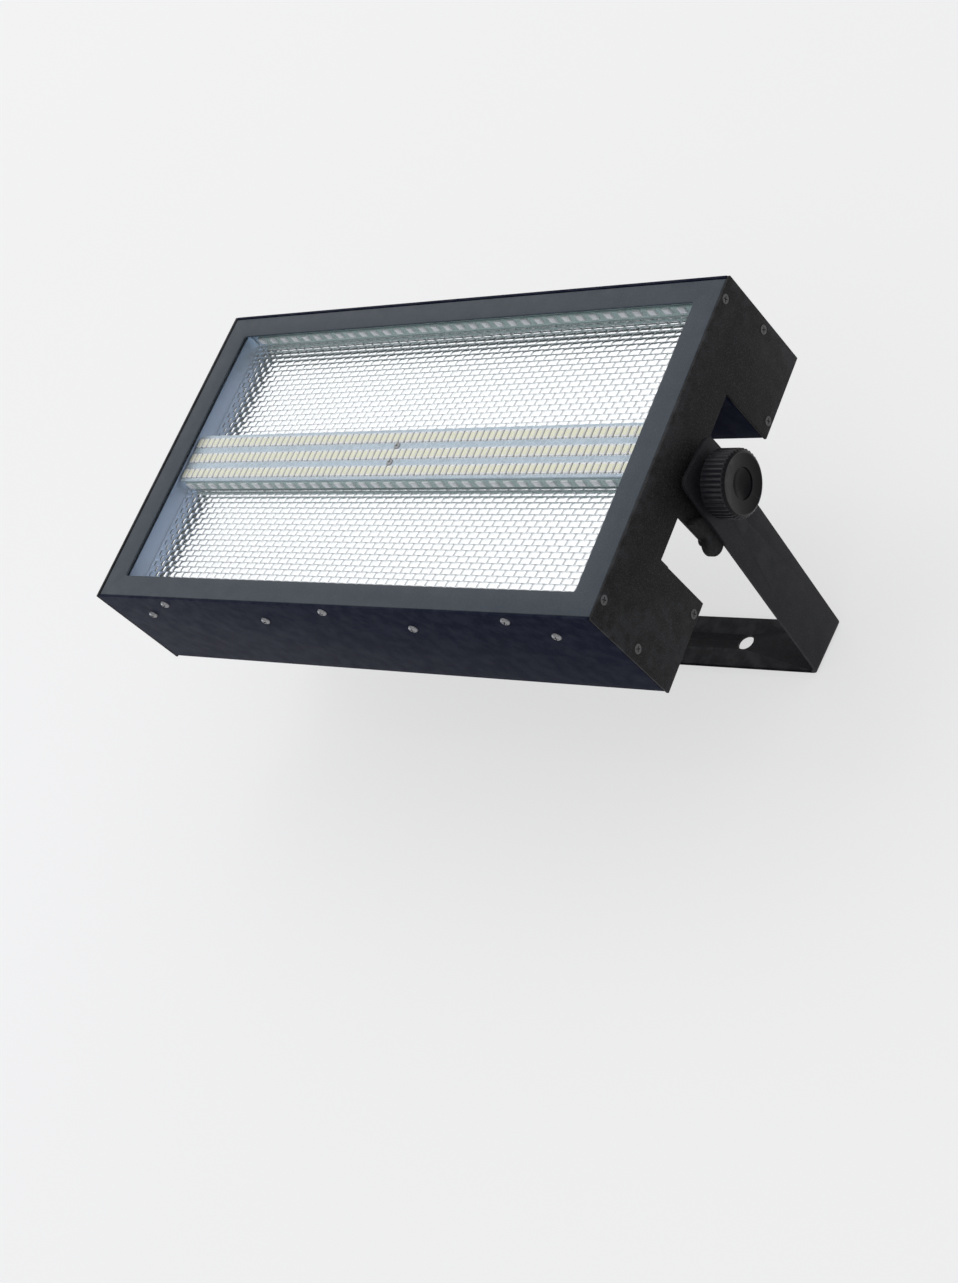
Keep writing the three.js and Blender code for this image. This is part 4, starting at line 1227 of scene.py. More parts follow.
@dataclass
class Lamp:
    """Reflectors, lamp bar, white LED board and colour strips."""

    shop: Workshop
    half_length: float = 196.7
    sheet: float = 0.8
    sheet_edge: float = 0.15
    trough_start: float = 17.9
    trough_reach: float = 102.0
    trough_depth: float = 17.5
    lip_depth: float = 5.7
    lip_reach: float = 109.9
    flange_depth: float = 26.4
    bend: float = 1.2
    bump_pitch: float = 8.22
    bump_row: float = 4.18
    bump_rise: float = 0.2
    bump_end_drop: float = 0.42
    bump_end_power: float = 6.0
    bump_side_drop: float = 0.32
    bump_side_power: float = 4.0
    bump_columns: tuple[float, ...] = (0.0, 0.09, 0.24, 0.5, 0.76, 0.91)
    bump_points: tuple[float, ...] = (0.0, 0.1, 0.28, 0.5, 0.72, 0.9)
    white_rows: int = 3
    white_columns: int = 73
    white_pitch: float = 5.35
    white_row_pitch: float = 12.2
    white_wide: float = 4.15
    foot_x: float = 1.1
    foot_y: float = 3.8
    white_long: float = 7.0
    white_tall: float = 0.8
    white_face_depth: float = 6.3
    board_thick: float = 1.5
    board_margin: float = 2.4
    board_lip: float = 4.8
    colour_count: int = 35
    colour_pitch: float = 11.02
    colour_size: float = 5.0
    colour_tall: float = 1.0
    strip_thick: float = 1.0
    strip_width: float = 7.0
    strip_depth: float = 11.7
    strip_shift: float = 0.9
    bar_half: float = 17.6
    strip_gap: float = 0.3
    bar_screw_x: float = -2.0
    bar_screw_y: float = 6.1
    bar_screw: Screw = Screw(ScrewHead.PAN, 2.5, 0.9, 1.3, 0.5, 0.7)

    def fold(self) -> list[Vector]:
        """Corners of the plain sheet in (y, z), from the bend at the floor to the rear end of the flange.

        Returns:
            The corners.
        """
        reach, floor, lip = self.trough_reach, -self.trough_depth, -self.lip_depth
        corner = [Vector(p) for p in arc((reach - self.bend, floor + self.bend), self.bend, -90.0, 0.0, 4)]
        outer = [(reach, lip), (self.lip_reach, lip), (self.lip_reach, -self.flange_depth)]
        return corner + [Vector(p) for p in outer]

    def back(self) -> list[Vector]:
        """Corners of the sheet's rear face in (y, z), from the flange to the edge beside the lamp bar.

        Returns:
            The corners.
        """
        thick, floor, lip = self.sheet, -self.trough_depth - self.sheet, -self.lip_depth - self.sheet
        outer, wall = self.lip_reach - thick, self.trough_reach + thick
        corners = [(outer, -self.flange_depth), (outer, lip), (wall, lip), (wall, floor)]
        return [Vector(p) for p in (*corners, (self.trough_start, floor))]

    def brick_share(self, row: int, x: float) -> float:
        """How far x lies from the middle of its bump, as a share of the way to the bump's end.

        Args:
            row: number of the row of bumps; every second row is shifted by half a bump.
            x: place along the head.

        Returns:
            0 in the middle of a bump, 1 at its end.
        """
        shift = (x / self.bump_pitch + (0.5 if row % 2 else 0.0)) % 1.0
        return 2 * min(shift, 1.0 - shift)

    def valley(self, row: int, x: float) -> float:
        """Place of the valley below a row of bumps, as a distance from the edge beside the lamp bar.

        Args:
            row: number of the row of bumps above the valley.
            x: place along the head.

        Returns:
            The distance.
        """
        share = self.brick_share(row, x)
        slack = (1 - share) ** self.bump_end_power - share ** self.bump_end_power
        lean = slack * self.bump_end_drop / (2 * self.bump_side_power * self.bump_side_drop)
        return (row - 0.5 - 0.5 * lean) * self.bump_row

    def bump(self, x: float, along: float) -> float:
        """Height of the hammered relief, made of long pillows in rows like bricks.

        Args:
            x: place along the head.
            along: distance from the edge beside the lamp bar.

        Returns:
            The height over the sheet's middle face, in millimetres.
        """
        height = self.bump_row
        nearest = round(along / height)
        falls = []
        for row in (nearest - 1, nearest, nearest + 1):
            end_fall = self.bump_end_drop * self.brick_share(row, x) ** self.bump_end_power
            aside = abs(along - row * height) / (height / 2)
            falls.append(end_fall + self.bump_side_drop * aside ** self.bump_side_power)
        return self.bump_rise - min(falls)

    def stations(self) -> list[float]:
        """Places along the head at which the trough's section is drawn, closer beside each bump's end.

        Returns:
            The places, from left to right.
        """
        half = self.bump_pitch / 2
        count = math.ceil(self.half_length / half) + 1
        inner = [(k + share) * half for k in range(-count, count) for share in self.bump_columns]
        limit = self.half_length - 0.1
        return [-self.half_length, *(x for x in inner if abs(x) < limit), self.half_length]

    def trough(self, half: Half) -> None:
        """Makes one trough: its hammered floor, plain outer wall, lip, flange and plain back.

        Args:
            half: the half of the head that it lies in.
        """
        flat = self.trough_reach - self.bend - self.trough_start
        rows = range(0, math.ceil(flat / self.bump_row) + 2)
        plain = self.fold() + self.back()
        rings = []
        for x in self.stations():
            valleys = [self.valley(row, x) for row in rows]
            places = [
                low + (high - low) * share
                for low, high in zip(valleys, valleys[1:]) for share in self.bump_points
            ]
            floor = [
                Vector((self.trough_start + along, self.bump(x, along) - self.trough_depth))
                for along in (min(max(a, 0.0), flat - 0.05) for a in places)
            ]
            rings.append([Vector((x, half.value * y, z)) for y, z in floor + plain])
        draft = Draft().loft(rings, caps=True)
        if half is Half.UPPER:
            bmesh.ops.reverse_faces(draft.mesh, faces=draft.mesh.faces)
        draft.clean()
        # Faces of the plain outer wall, lip and flange take the cyan-tinted sheet: painted reflection of the
        # colour strips.
        for face in draft.mesh.faces:
            if half.value * face.calc_center_median().y > self.trough_reach - self.bend:
                face.material_index = 1
        place = self.shop.face
        name = f"reflector_{half.word}"
        slots = [Slot.REFLECTOR, Slot.REFLECTOR_WALL]
        self.shop.piece(draft, f"{name}_hammered", place, slots, "head", [name], smooth=22.0)

    def white_package(self) -> Draft:
        """Draws one white LED: a white package with a pillow of phosphor gel, and its solder feet.

        Returns:
            The draft.
        """
        draft = Draft()
        tall = self.white_tall
        outer = rounded_rectangle(self.white_wide, self.white_long, 0.9, 3)
        levels = ((1.0, 0.0), (1.0, tall - 0.25), (0.95, tall - 0.08), (0.84, tall))
        draft.loft([[Vector((s * a, s * b, z)) for a, b in outer] for s, z in levels])
        draft.mesh.faces.new(list(draft.mesh.verts)[-len(outer):])
        gel = rounded_rectangle(self.white_wide - 0.4, self.white_long - 1.9, 1.1, 3)
        skins = ((1.0, tall - 0.02), (0.96, tall + 0.07), (0.75, tall + 0.13))
        draft.loft([[Vector((s * a, s * b - 0.1, z)) for a, b in gel] for s, z in skins], finish=1)
        draft.mesh.faces.new(list(draft.mesh.verts)[-len(gel):]).material_index = 1
        foot = rounded_rectangle(1.0, 0.9, 0.15, 1)
        for x in (-self.foot_x, self.foot_x):
            for y in (-self.foot_y, self.foot_y):
                draft.prism([(x + a, y + b) for a, b in foot], 0.0, 0.22, finish=4)
        return draft

    def white_board(self) -> None:
        """Makes the white board with all its LEDs and its two screws."""
        columns = centred(self.white_columns, self.white_pitch)
        rows = centred(self.white_rows, self.white_row_pitch)
        length = 2 * (columns[-1] + self.board_margin)
        height = 2 * rows[-1] + self.white_long + self.board_lip
        seat = -self.white_face_depth - self.white_tall
        outline = rounded_rectangle(length, height, 0.8, 2)
        draft = Draft().prism(outline, seat - self.board_thick, seat, finish=2)
        places = [Matrix.Translation((x, y, seat)) for y in rows for x in columns]
        draft.stamp(self.white_package(), places)
        # Dark band under each row, seen between the packages: painted shade in the gaps.
        gap_shade = rounded_rectangle(2 * columns[-1] + self.white_wide + 1.0, self.white_long + 0.3, 0.4, 2)
        for y in rows:
            draft.prism([(a, b + y) for a, b in gap_shade], seat - 0.01, seat + 0.04, finish=3)
        slots = [Slot.WHITE_LED, Slot.PHOSPHOR, Slot.LED_BOARD, Slot.LED_BED, Slot.SOLDER]
        place = self.shop.face
        self.shop.piece(draft, "white_leds", place, slots, "head", ["white_led_board"], smooth=60.0)
        spots = [Matrix.Translation((self.bar_screw_x, sign * self.bar_screw_y, seat)) for sign in (-1, 1)]
        self.shop.screws("bar_screws", self.bar_screw, spots, place, "head")

    def colour_package(self) -> Draft:
        """Draws one colour LED: a square white package with a wide, flat window of clear gel.

        Returns:
            The draft.
        """
        draft = Draft()
        size, tall = self.colour_size, self.colour_tall
        body = rounded_rectangle(size, size, 0.12, 1)
        window = rounded_rectangle(size - 0.7, size - 0.7, 0.2, 1)
        levels = ((body, 1.0, 0.0), (body, 1.0, tall), (window, 1.0, tall), (window, 0.98, tall - 0.05))
        draft.loft([[Vector((s * a, s * b, z)) for a, b in outline] for outline, s, z in levels])
        draft.mesh.faces.new(list(draft.mesh.verts)[-len(window):]).material_index = 1
        return draft

    def colour_strip(self, name: str, y: float, facing: Half) -> None:
        """Makes one colour strip.

        Args:
            name: the strip's node.
            y: height of the back of its board.
            facing: where its LEDs point.
        """
        places = centred(self.colour_count, self.colour_pitch)
        length = 2 * (places[-1] + self.colour_size / 2) + self.board_margin
        corners = rounded_rectangle(length, self.strip_width, 0.5, 2)
        outline = [(a, b + facing.value * self.strip_shift) for a, b in corners]
        draft = Draft().prism(outline, 0.0, self.strip_thick, finish=2)
        draft.stamp(self.colour_package(), [Matrix.Translation((x, 0, self.strip_thick)) for x in places])
        pad, low, high = self.colour_size / 2, self.strip_thick - 0.02, self.strip_thick + 0.16
        for x in places:
            for sign in (-1, 1):
                outline = rounded_rectangle(0.4, 4.4, 0.1, 1)
                draft.prism([(x + sign * (pad + 0.25) + a, b) for a, b in outline], low, high, finish=3)
        turn = Matrix.Rotation(-facing.value * math.pi / 2, 4, "X")
        place = self.shop.face @ Matrix.Translation((0, y, -self.strip_depth)) @ turn
        slots = [Slot.COLOUR_LED, Slot.CLEAR_GEL, Slot.STRIP_BOARD, Slot.SOLDER]
        self.shop.piece(draft, f"{name}_leds", place, slots, "head", [name], smooth=60.0)

    def build(self) -> None:
        """Makes the whole lamp."""
        for half in Half:
            self.trough(half)
        for side in Side:
            self.shop.softened(f"reflector_end_{side.word}", self.sheet_edge)
        self.shop.softened("lamp_bar", self.sheet_edge, 3)
        self.white_board()
        on_wall, on_bar = self.trough_reach - self.strip_gap, self.bar_half + self.strip_gap
        self.colour_strip("colour_strip_top", on_wall, Half.LOWER)
        self.colour_strip("colour_strip_bar_top", on_bar, Half.UPPER)
        self.colour_strip("colour_strip_bar_under", -on_bar, Half.LOWER)
        self.colour_strip("colour_strip_bottom", -on_wall, Half.UPPER)


@dataclass
class Pivot:
    """Knobs, washers, nuts, studs and rubber buffers of the tilt pivots."""

    shop: Workshop
    rib_count: int = 40
    points_per_rib: int = 10
    radius: float = 19.9
    rib_depth: float = 1.05
    hub_radius: float = 12.5
    stud_radius: float = 4.3
    hub_start: float = 222.1
    grip_start: float = 225.5
    grip_end: float = 239.6
    face_end: float = 241.1
    ridge_radius: float = 17.6
    face_dish: float = 0.5
    dimple_radius: float = 9.1
    dimple_wall: float = 1.5
    dimple_depth: float = 4.2
    buffer_start: float = 212.8
    buffer_end: float = 217.3
    buffer_round: float = 1.6
    nose_depth: float = 66.0
    nose_drop: float = 23.6
    nose_radius: float = 8.4
    tail_depth: float = 52.0
    tail_radius: float = 9.0
    ear_drop: float = 27.0
    pin_radius: float = 2.2
    pin_drop: float = 22.6
    pin_head: float = 3.6
    pin_head_start: float = 206.7
    washer_bore: float = 4.3
    thread_radius: float = 4.0
    thread_pitch: float = 1.25
    stud_start: float = 200.2
    stud_reach: float = 5.8
    ear_inner: float = 210.2
    friction_radius: float = 14.0
    friction_end: float = 217.5
    friction_edge: float = 0.4
    washer_radius: float = 11.0
    washer_start: float = 220.6
    washer_end: float = 221.8
    washer_edge: float = 0.15
    nut_edge: float = 0.5

    def ribbed_ring(self, radius: float, depth: float, along: float) -> list[Vector]:
        """Points of a ribbed circle: flat-topped ribs with round valleys.

        Args:
            radius: radius over the ribs.
            depth: depth of the valleys.
            along: z of the ring.

        Returns:
            The points.
        """
        points = []
        count = self.rib_count * self.points_per_rib
        for k in range(count):
            wave = 0.5 - 0.5 * math.cos(2 * math.pi * k / self.points_per_rib)
            reach = radius - depth * wave ** 1.6
            angle = 2 * math.pi * k / count
            points.append(Vector((reach * math.cos(angle), reach * math.sin(angle), along)))
        return points

    def knob(self, side: Side) -> None:
        """Makes one clamp knob about z, with z measured from the middle of the head.

        Args:
            side: the end of the head that it clamps.
        """
        start, end, face = self.grip_start, self.grip_end, self.face_end
        valley, dish = self.radius - self.rib_depth, self.face_end - self.face_dish
        ridge, dimple, rib = self.ridge_radius, self.dimple_radius, self.rib_depth
        floor = dish - self.dimple_wall
        sunk = self.dimple_depth - self.dimple_wall
        hub = [
            (self.stud_radius, self.hub_start), (self.hub_radius - 0.4, self.hub_start),
            (self.hub_radius, self.hub_start + 0.4), (self.hub_radius, start - 0.3),
            (self.hub_radius + 0.3, start), (valley - 1.0, start),
        ]
        grip = [
            (0.5, 0.4, start + 0.08), (0.12, 0.85, start + 0.3), (0.0, 1.0, start + 0.7),
            (0.0, 1.0, end - 0.5), (0.12, 0.9, end - 0.15), (0.45, 0.6, end + 0.12), (1.0, 0.2, end + 0.4),
        ]
        front = [(ridge + 0.9, face - 0.55), (ridge + 0.25, face - 0.1), (ridge, face)]
        front += [(ridge - 0.25, face - 0.03), (ridge - 0.5, face - 0.3), (ridge - 0.75, dish)]
        front += [(dimple + 0.35, dish), (dimple + 0.1, dish - 0.05), (dimple, dish - 0.25)]
        front += [(dimple - 0.1, floor + 0.3), (dimple - 0.5, floor)]
        shares = (0.8, 0.6, 0.4, 0.2, 0.01)
        front += [(share * dimple, floor - sunk * math.cos(share * math.pi / 2)) for share in shares]
        rings = [self.ribbed_ring(r, 0.0, z) for r, z in hub]
        rings += [self.ribbed_ring(self.radius - inset, share * rib, z) for inset, share, z in grip]
        rings += [self.ribbed_ring(r, 0.0, z) for r, z in front]
        draft = Draft().loft(rings, caps=True)
        # Rib crests on the grip and the ring at the face's ridge take the paler copy of the knob's plastic, a
        # painted highlight.
        for ribbed in draft.mesh.faces:
            spot = ribbed.calc_center_median()
            highlight_grip_crest = spot.xy.length > valley - 0.6 and start < spot.z < end + 0.2
            if highlight_grip_crest or (ridge - 0.45 < spot.xy.length < ridge + 0.5 and spot.z > end):
                ribbed.material_index = 1
        name, slots = f"knob_{side.word}", [Slot.KNOB, Slot.KNOB_RIBS]
        self.shop.stand_in(draft, name, "moulded", self.shop.beside(side), slots, smooth=40.0)

    def buffer_outline(self) -> Outline:
        """Outline of the buffer as (depth, height): a pad along the ear's edge with a round nose past it.

        Returns:
            The points, counter-clockwise.
        """
        step = -self.ear_drop + self.nose_drop
        meet = 180.0 + math.degrees(math.asin(-step / self.nose_radius))
        nose = arc((self.nose_depth, -self.nose_drop), self.nose_radius, meet, 440.0, 18)
        tail = arc((self.tail_depth, -self.ear_drop), self.tail_radius, 96.0, 180.0, 8)
        return nose + tail

    def buffer(self, side: Side) -> None:
        """Makes the rubber buffer on the ear, with its pin and the pin's head behind the sheet.

        Args:
            side: the end of the head that it sits on.
        """
        outline = self.buffer_outline()
        middle_x, middle_y = (self.nose_depth + self.tail_depth) / 2, -self.nose_drop
        reach = (self.nose_depth - self.tail_depth) / 2 + self.nose_radius
        levels = [(0.0, self.buffer_start)]
        soft = self.buffer_round
        levels += arc((soft, self.buffer_end - soft), soft, 180.0, 90.0, 5)
        rings = []
        for inset, z in levels:
            along, across = 1 - inset / reach, 1 - inset / self.nose_radius
            ring = [
                (middle_x + (a - middle_x) * along, middle_y + (b - middle_y) * across) for a, b in outline
            ]
            rings.append([Vector((side.value * a, b, z)) for a, b in ring])
        draft = Draft().loft(rings, caps=True)
        depth, drop = side.value * self.nose_depth, -self.pin_drop
        draft.prism(circle(self.pin_radius, depth, drop, 24), self.ear_inner, self.buffer_start + 0.2)
        draft.prism(circle(self.pin_head, depth, drop, 24), self.pin_head_start, self.ear_inner + 0.1)
        draft.outward()
        place = self.shop.face @ Matrix.Rotation(side.value * math.pi / 2, 4, "Y")
        self.shop.stand_in(draft, f"ear_buffer_{side.word}", "moulded", place, [Slot.BUFFER])

    def turned_part(self, node: str, profile: Profile, side: Side) -> None:
        """Makes a part that is turned about the tilt axis.

        Args:
            node: the node's name without its side.
            profile: its outline as (radius, x), with x measured from the middle of the head.
            side: the end of the head that it belongs to.
        """
        draft = Draft().lathe(profile).outward()
        self.shop.stand_in(draft, f"{node}_{side.word}", "turned", self.shop.beside(side))

    def washer(self, radius: float, start: float, end: float, edge: float) -> Outline:
        """Outline of a washer with rounded rims, as (radius, x).

        Args:
            radius: its outer radius.
            start: x of its inner face.
            end: x of its outer face.
            edge: width of the rounding.

        Returns:
            The points.
        """
        bore = self.washer_bore
        return [
            (bore, start), (radius - edge, start), (radius, start + edge), (radius, end - edge),
            (radius - edge, end), (bore, end), (bore, start),
        ]

    def stud(self) -> Outline:
        """Outline of the threaded stud, as (radius, x).

        Returns:
            The points.
        """
        crest, root, pitch = self.thread_radius, self.thread_radius - 0.45, self.thread_pitch
        points = [(0.0, self.stud_start), (root, self.stud_start)]
        turns = int((self.ear_inner - self.stud_start + 1.0) / pitch)
        for turn in range(turns):
            x = self.stud_start + 0.3 + turn * pitch
            points += [(crest, x + 0.3 * pitch), (crest, x + 0.5 * pitch)]
            points += [(root, x + 0.8 * pitch), (root, x + pitch)]
        end = self.grip_start + self.stud_reach
        return [*points, (crest, points[-1][1] + 0.3), (crest, end), (0.0, end)]

    def build(self) -> None:
        """Makes both pivots."""
        friction = self.washer(self.friction_radius, self.buffer_start, self.friction_end, self.friction_edge)
        steel = self.washer(self.washer_radius, self.washer_start, self.washer_end, self.washer_edge)
        for side in Side:
            self.knob(side)
            self.buffer(side)
            self.shop.softened(f"pivot_nut_{side.word}", self.nut_edge, 3)
            self.turned_part("friction_washer", friction, side)
            self.turned_part("knob_washer", steel, side)
            self.turned_part("knob_stud", self.stud(), side)


@dataclass
class Yoke:
    """The folded strip that carries the head, drawn with the crossbar's outer face on z = 0."""

    shop: Workshop
    outside: float = 220.3
    width: float = 36.7
    sheet: float = 2.5
    inner_bend: float = 2.0
    arm_top: float = 175.4
    arm_corner: float = 6.0
    pivot_height: float = 153.8
    pivot_bore: float = 4.4
    clamp_bore: float = 6.5
    side_bore: float = 5.5
    side_bore_x: float = 159.2
    edge: float = 0.3
    bend_steps: int = 8

    @property
    def bend(self) -> float:
        """Radius of the bends' outer face."""
        return self.inner_bend + self.sheet

    def crossbar(self, draft: Draft) -> None:
        """Adds the crossbar with its three clamp holes.

        Args:
            draft: the draft to add it to.
        """
        reach, half = self.outside - self.bend, self.width / 2
        outline = [(-reach, -half), (reach, -half), (reach, half), (-reach, half)]
        holes = [circle(self.clamp_bore)] + [circle(self.side_bore, s * self.side_bore_x) for s in (-1, 1)]
        draft.plate(outline, holes, 0.0, self.sheet)

    def arm(self, side: Side) -> Draft:
        """Draws one arm with round upper corners and its pivot hole.

        Args:
            side: the end of the yoke that it stands on.

        Returns:
            The arm's draft.
        """
        low, top, half, corner = self.bend, self.arm_top, self.width / 2, self.arm_corner
        end = arc((top - corner, half - corner), corner, 90.0, 0.0, 10)
        end += [(a, -b) for a, b in reversed(end)]
        outline = [(low, -half), (low, half), *end]
        draft = Draft().plate(outline, [circle(self.pivot_bore, self.pivot_height)], 0.0, self.sheet)
        inward = Matrix(((0, 0, -side.value), (0, 1, 0), (1, 0, 0))).to_4x4()
        return draft.turned(Matrix.Translation((side.value * self.outside, 0, 0)) @ inward)

    def corner(self, draft: Draft, side: Side) -> None:
        """Adds the bend between the crossbar and one arm.

        Args:
            draft: the draft to add it to.
            side: the end of the yoke that it lies on.
        """
        half, centre, outer, inner = self.width / 2, self.outside - self.bend, self.bend, self.inner_bend
        section = ((outer, -half), (outer, half), (inner, half), (inner, -half))
        rings = []
        for k in range(self.bend_steps + 1):
            angle = math.pi / 2 * (k / self.bend_steps - 1)
            ring = []
            for radius, y in section:
                x, z = centre + radius * math.cos(angle), outer + radius * math.sin(angle)
                ring.append(Vector((side.value * x, y, z)))
            rings.append(ring)
        draft.loft(rings)

    def build(self) -> None:
        """Folds the whole strip and rounds its edges."""
        draft = Draft()
        self.crossbar(draft)
        for side in Side:
            draft.stamp(self.arm(side), [Matrix.Identity(4)])
            self.corner(draft, side)
        reach = self.outside - self.bend
        inner = [
            face for face in draft.mesh.faces
            if all(abs(abs(v.co.x) - reach) < 1e-3 and v.co.z <= self.sheet for v in face.verts)
            or all(abs(v.co.z - self.bend) < 1e-3 for v in face.verts)
        ]
        bmesh.ops.delete(draft.mesh, geom=inner, context="FACES")
        draft.clean()
        draft.outward()
        draft.bevel(self.edge, 3, 50.0)
        self.shop.stand_in(draft, "yoke", "folded", Matrix.Scale(MILLIMETRE, 4), [Slot.YOKE])


@dataclass
class Fan:
    """One cooling fan with its guard, drawn about its axis with the frame's rear face on z = 0."""

    shop: Workshop
    side: Side
    x: float = 145.0
    y: float = 84.5
    frame_z: float = -78.7
    guard_z: float = -80.8
    size: float = 50.0
    deep: float = 15.0
    wall: float = 1.9
    corner: float = 3.8
    hub_radius: float = 11.5
    screw_place: float = 20.0
    screw_bore: float = 2.0
    spider: float = 2.0
    spider_arm: float = 3.0
    rotor_low: float = 2.7
    rotor_high: float = 12.7
    blades: int = 7
    blade_steps: int = 6
    chord: float = 13.0
    thick: float = 1.1
    bow: float = 2.2
    root_pitch: float = 40.0
    tip_pitch: float = 30.0
    tip_gap: float = 0.8
    wire: float = 0.55
    guard_rings: int = 3
    tab: float = 3.4
    tab_thick: float = 0.9
    screw: Screw = Screw(ScrewHead.PAN, 2.7, 1.3, 1.5, 0.6, 0.9)

    @property
    def bore(self) -> float:
        """Radius of the duct."""
        return self.size / 2 - self.wall

    def place(self, z: float) -> Matrix:
        """Placement of a part whose own z = 0 lies at the given z of the face frame."""
        return self.shop.face @ Matrix.Translation((self.side.value * self.x, self.y, z))

    def corners(self) -> Outline:
        """Places of the four screws."""
        return [(i * self.screw_place, j * self.screw_place) for i in (-1, 1) for j in (-1, 1)]

    def frame(self) -> None:
        """Makes the frame: a square duct with screw holes, and the spider that carries the motor."""
        outline = rounded_rectangle(self.size, self.size, self.corner, 6)
        holes = [circle(self.bore, sides=64)] + [circle(self.screw_bore, x, y, 20) for x, y in self.corners()]
        draft = Draft().plate(outline, holes, 0.0, self.deep).bevel(0.35, 2, 60.0)
        low = self.deep - self.spider
        draft.prism(circle(self.hub_radius, sides=48), low, self.deep)
        half, reach = self.spider_arm / 2, self.bore + self.wall / 2
        arm = [(0.0, -half), (reach, -half), (reach, half), (0.0, half)]
        for quarter in range(4):
            turn = Matrix.Rotation(quarter * math.pi / 2, 2)
            draft.prism([tuple(turn @ Vector(p)) for p in arm], low + 0.1, self.deep - 0.1)
        name = f"fan_frame_{self.side.word}"
        self.shop.stand_in(draft, name, "moulded", self.place(self.frame_z), [Slot.FAN])

    def blade(self) -> Draft:
        """Draws one twisted, bowed blade that runs from the hub along x.

        Returns:
            The draft.
        """
        rings = []
        middle = (self.rotor_low + self.rotor_high) / 2 - 0.6
        root, tip = self.hub_radius - 0.6, self.bore - self.tip_gap
        shares = [k / 4 - 1 for k in range(9)]
        for step in range(self.blade_steps + 1):
            part = step / self.blade_steps
            radius = root + (tip - root) * part
            pitch = math.radians(self.root_pitch + (self.tip_pitch - self.root_pitch) * part)
            ring = []
            for lift, row in ((0.0, shares), (self.thick, list(reversed(shares)))):
                for share in row:
                    thin = lift * (1 - 0.7 * share * share)
                    along, off = share * self.chord / 2, self.bow * (1 - share * share) + thin
                    turn = (along * math.cos(pitch) - off * math.sin(pitch)) / radius
                    rise = along * math.sin(pitch) + off * math.cos(pitch)
                    ring.append(Vector((radius * math.cos(turn), radius * math.sin(turn), middle + rise)))
            rings.append(ring)
        return Draft().loft(rings, caps=True).outward()

    def rotor(self) -> None:
        """Makes the rotor: a hub with a rounded rim and its blades."""
        low, high, hub = self.rotor_low, self.rotor_high, self.hub_radius
        profile = [(0.0, low), (hub - 1.6, low), (hub - 0.6, low + 0.25), (hub - 0.15, low + 0.8)]
        profile += [(hub, low + 1.6), (hub, high), (0.0, high)]
        draft = Draft().lathe(profile).outward()
        turns = [Matrix.Rotation(2 * math.pi * k / self.blades, 4, "Z") for k in range(self.blades)]
        draft.stamp(self.blade(), turns)
        name = f"fan_rotor_{self.side.word}"
        self.shop.stand_in(draft, name, "moulded", self.place(self.frame_z), [Slot.FAN])

    def guard(self) -> None:
        """Makes the wire guard with its four tabs, and the screws through them."""
        draft = Draft()
        for number in range(1, self.guard_rings + 1):
            path = ring_points(self.bore * number / self.guard_rings, 24 + 12 * number, -1.4 * self.wire)
            draft.wire(path, self.wire, closed=True)
        for way in (-1, 1):
            ends = [Vector((s * self.screw_place, s * way * self.screw_place, -self.wire)) for s in (-1, 1)]
            draft.wire(ends, self.wire)
        for x, y in self.corners():
            hole = circle(0.6 * self.screw_bore, x, y, 16)
            draft.plate(circle(self.tab, x, y, 28), [hole], -self.tab_thick, 0.0)
        draft.outward()
        name, place = f"fan_guard_{self.side.word}", self.place(self.guard_z)
        self.shop.stand_in(draft, name, "wire", place, [Slot.GUARD])
        rear = Matrix.Rotation(math.pi, 4, "X")
        spots = [
            Matrix.Translation((x, y, -self.tab_thick)) @ rear @ Matrix.Rotation(x + y, 4, "Z")
            for x, y in self.corners()
        ]
        self.shop.screws(f"fan_screws_{self.side.word}", self.screw, spots, place, self.shop.body(name))

    def build(self) -> None:
        """Makes the whole fan."""
        self.frame()
        self.rotor()
        self.guard()


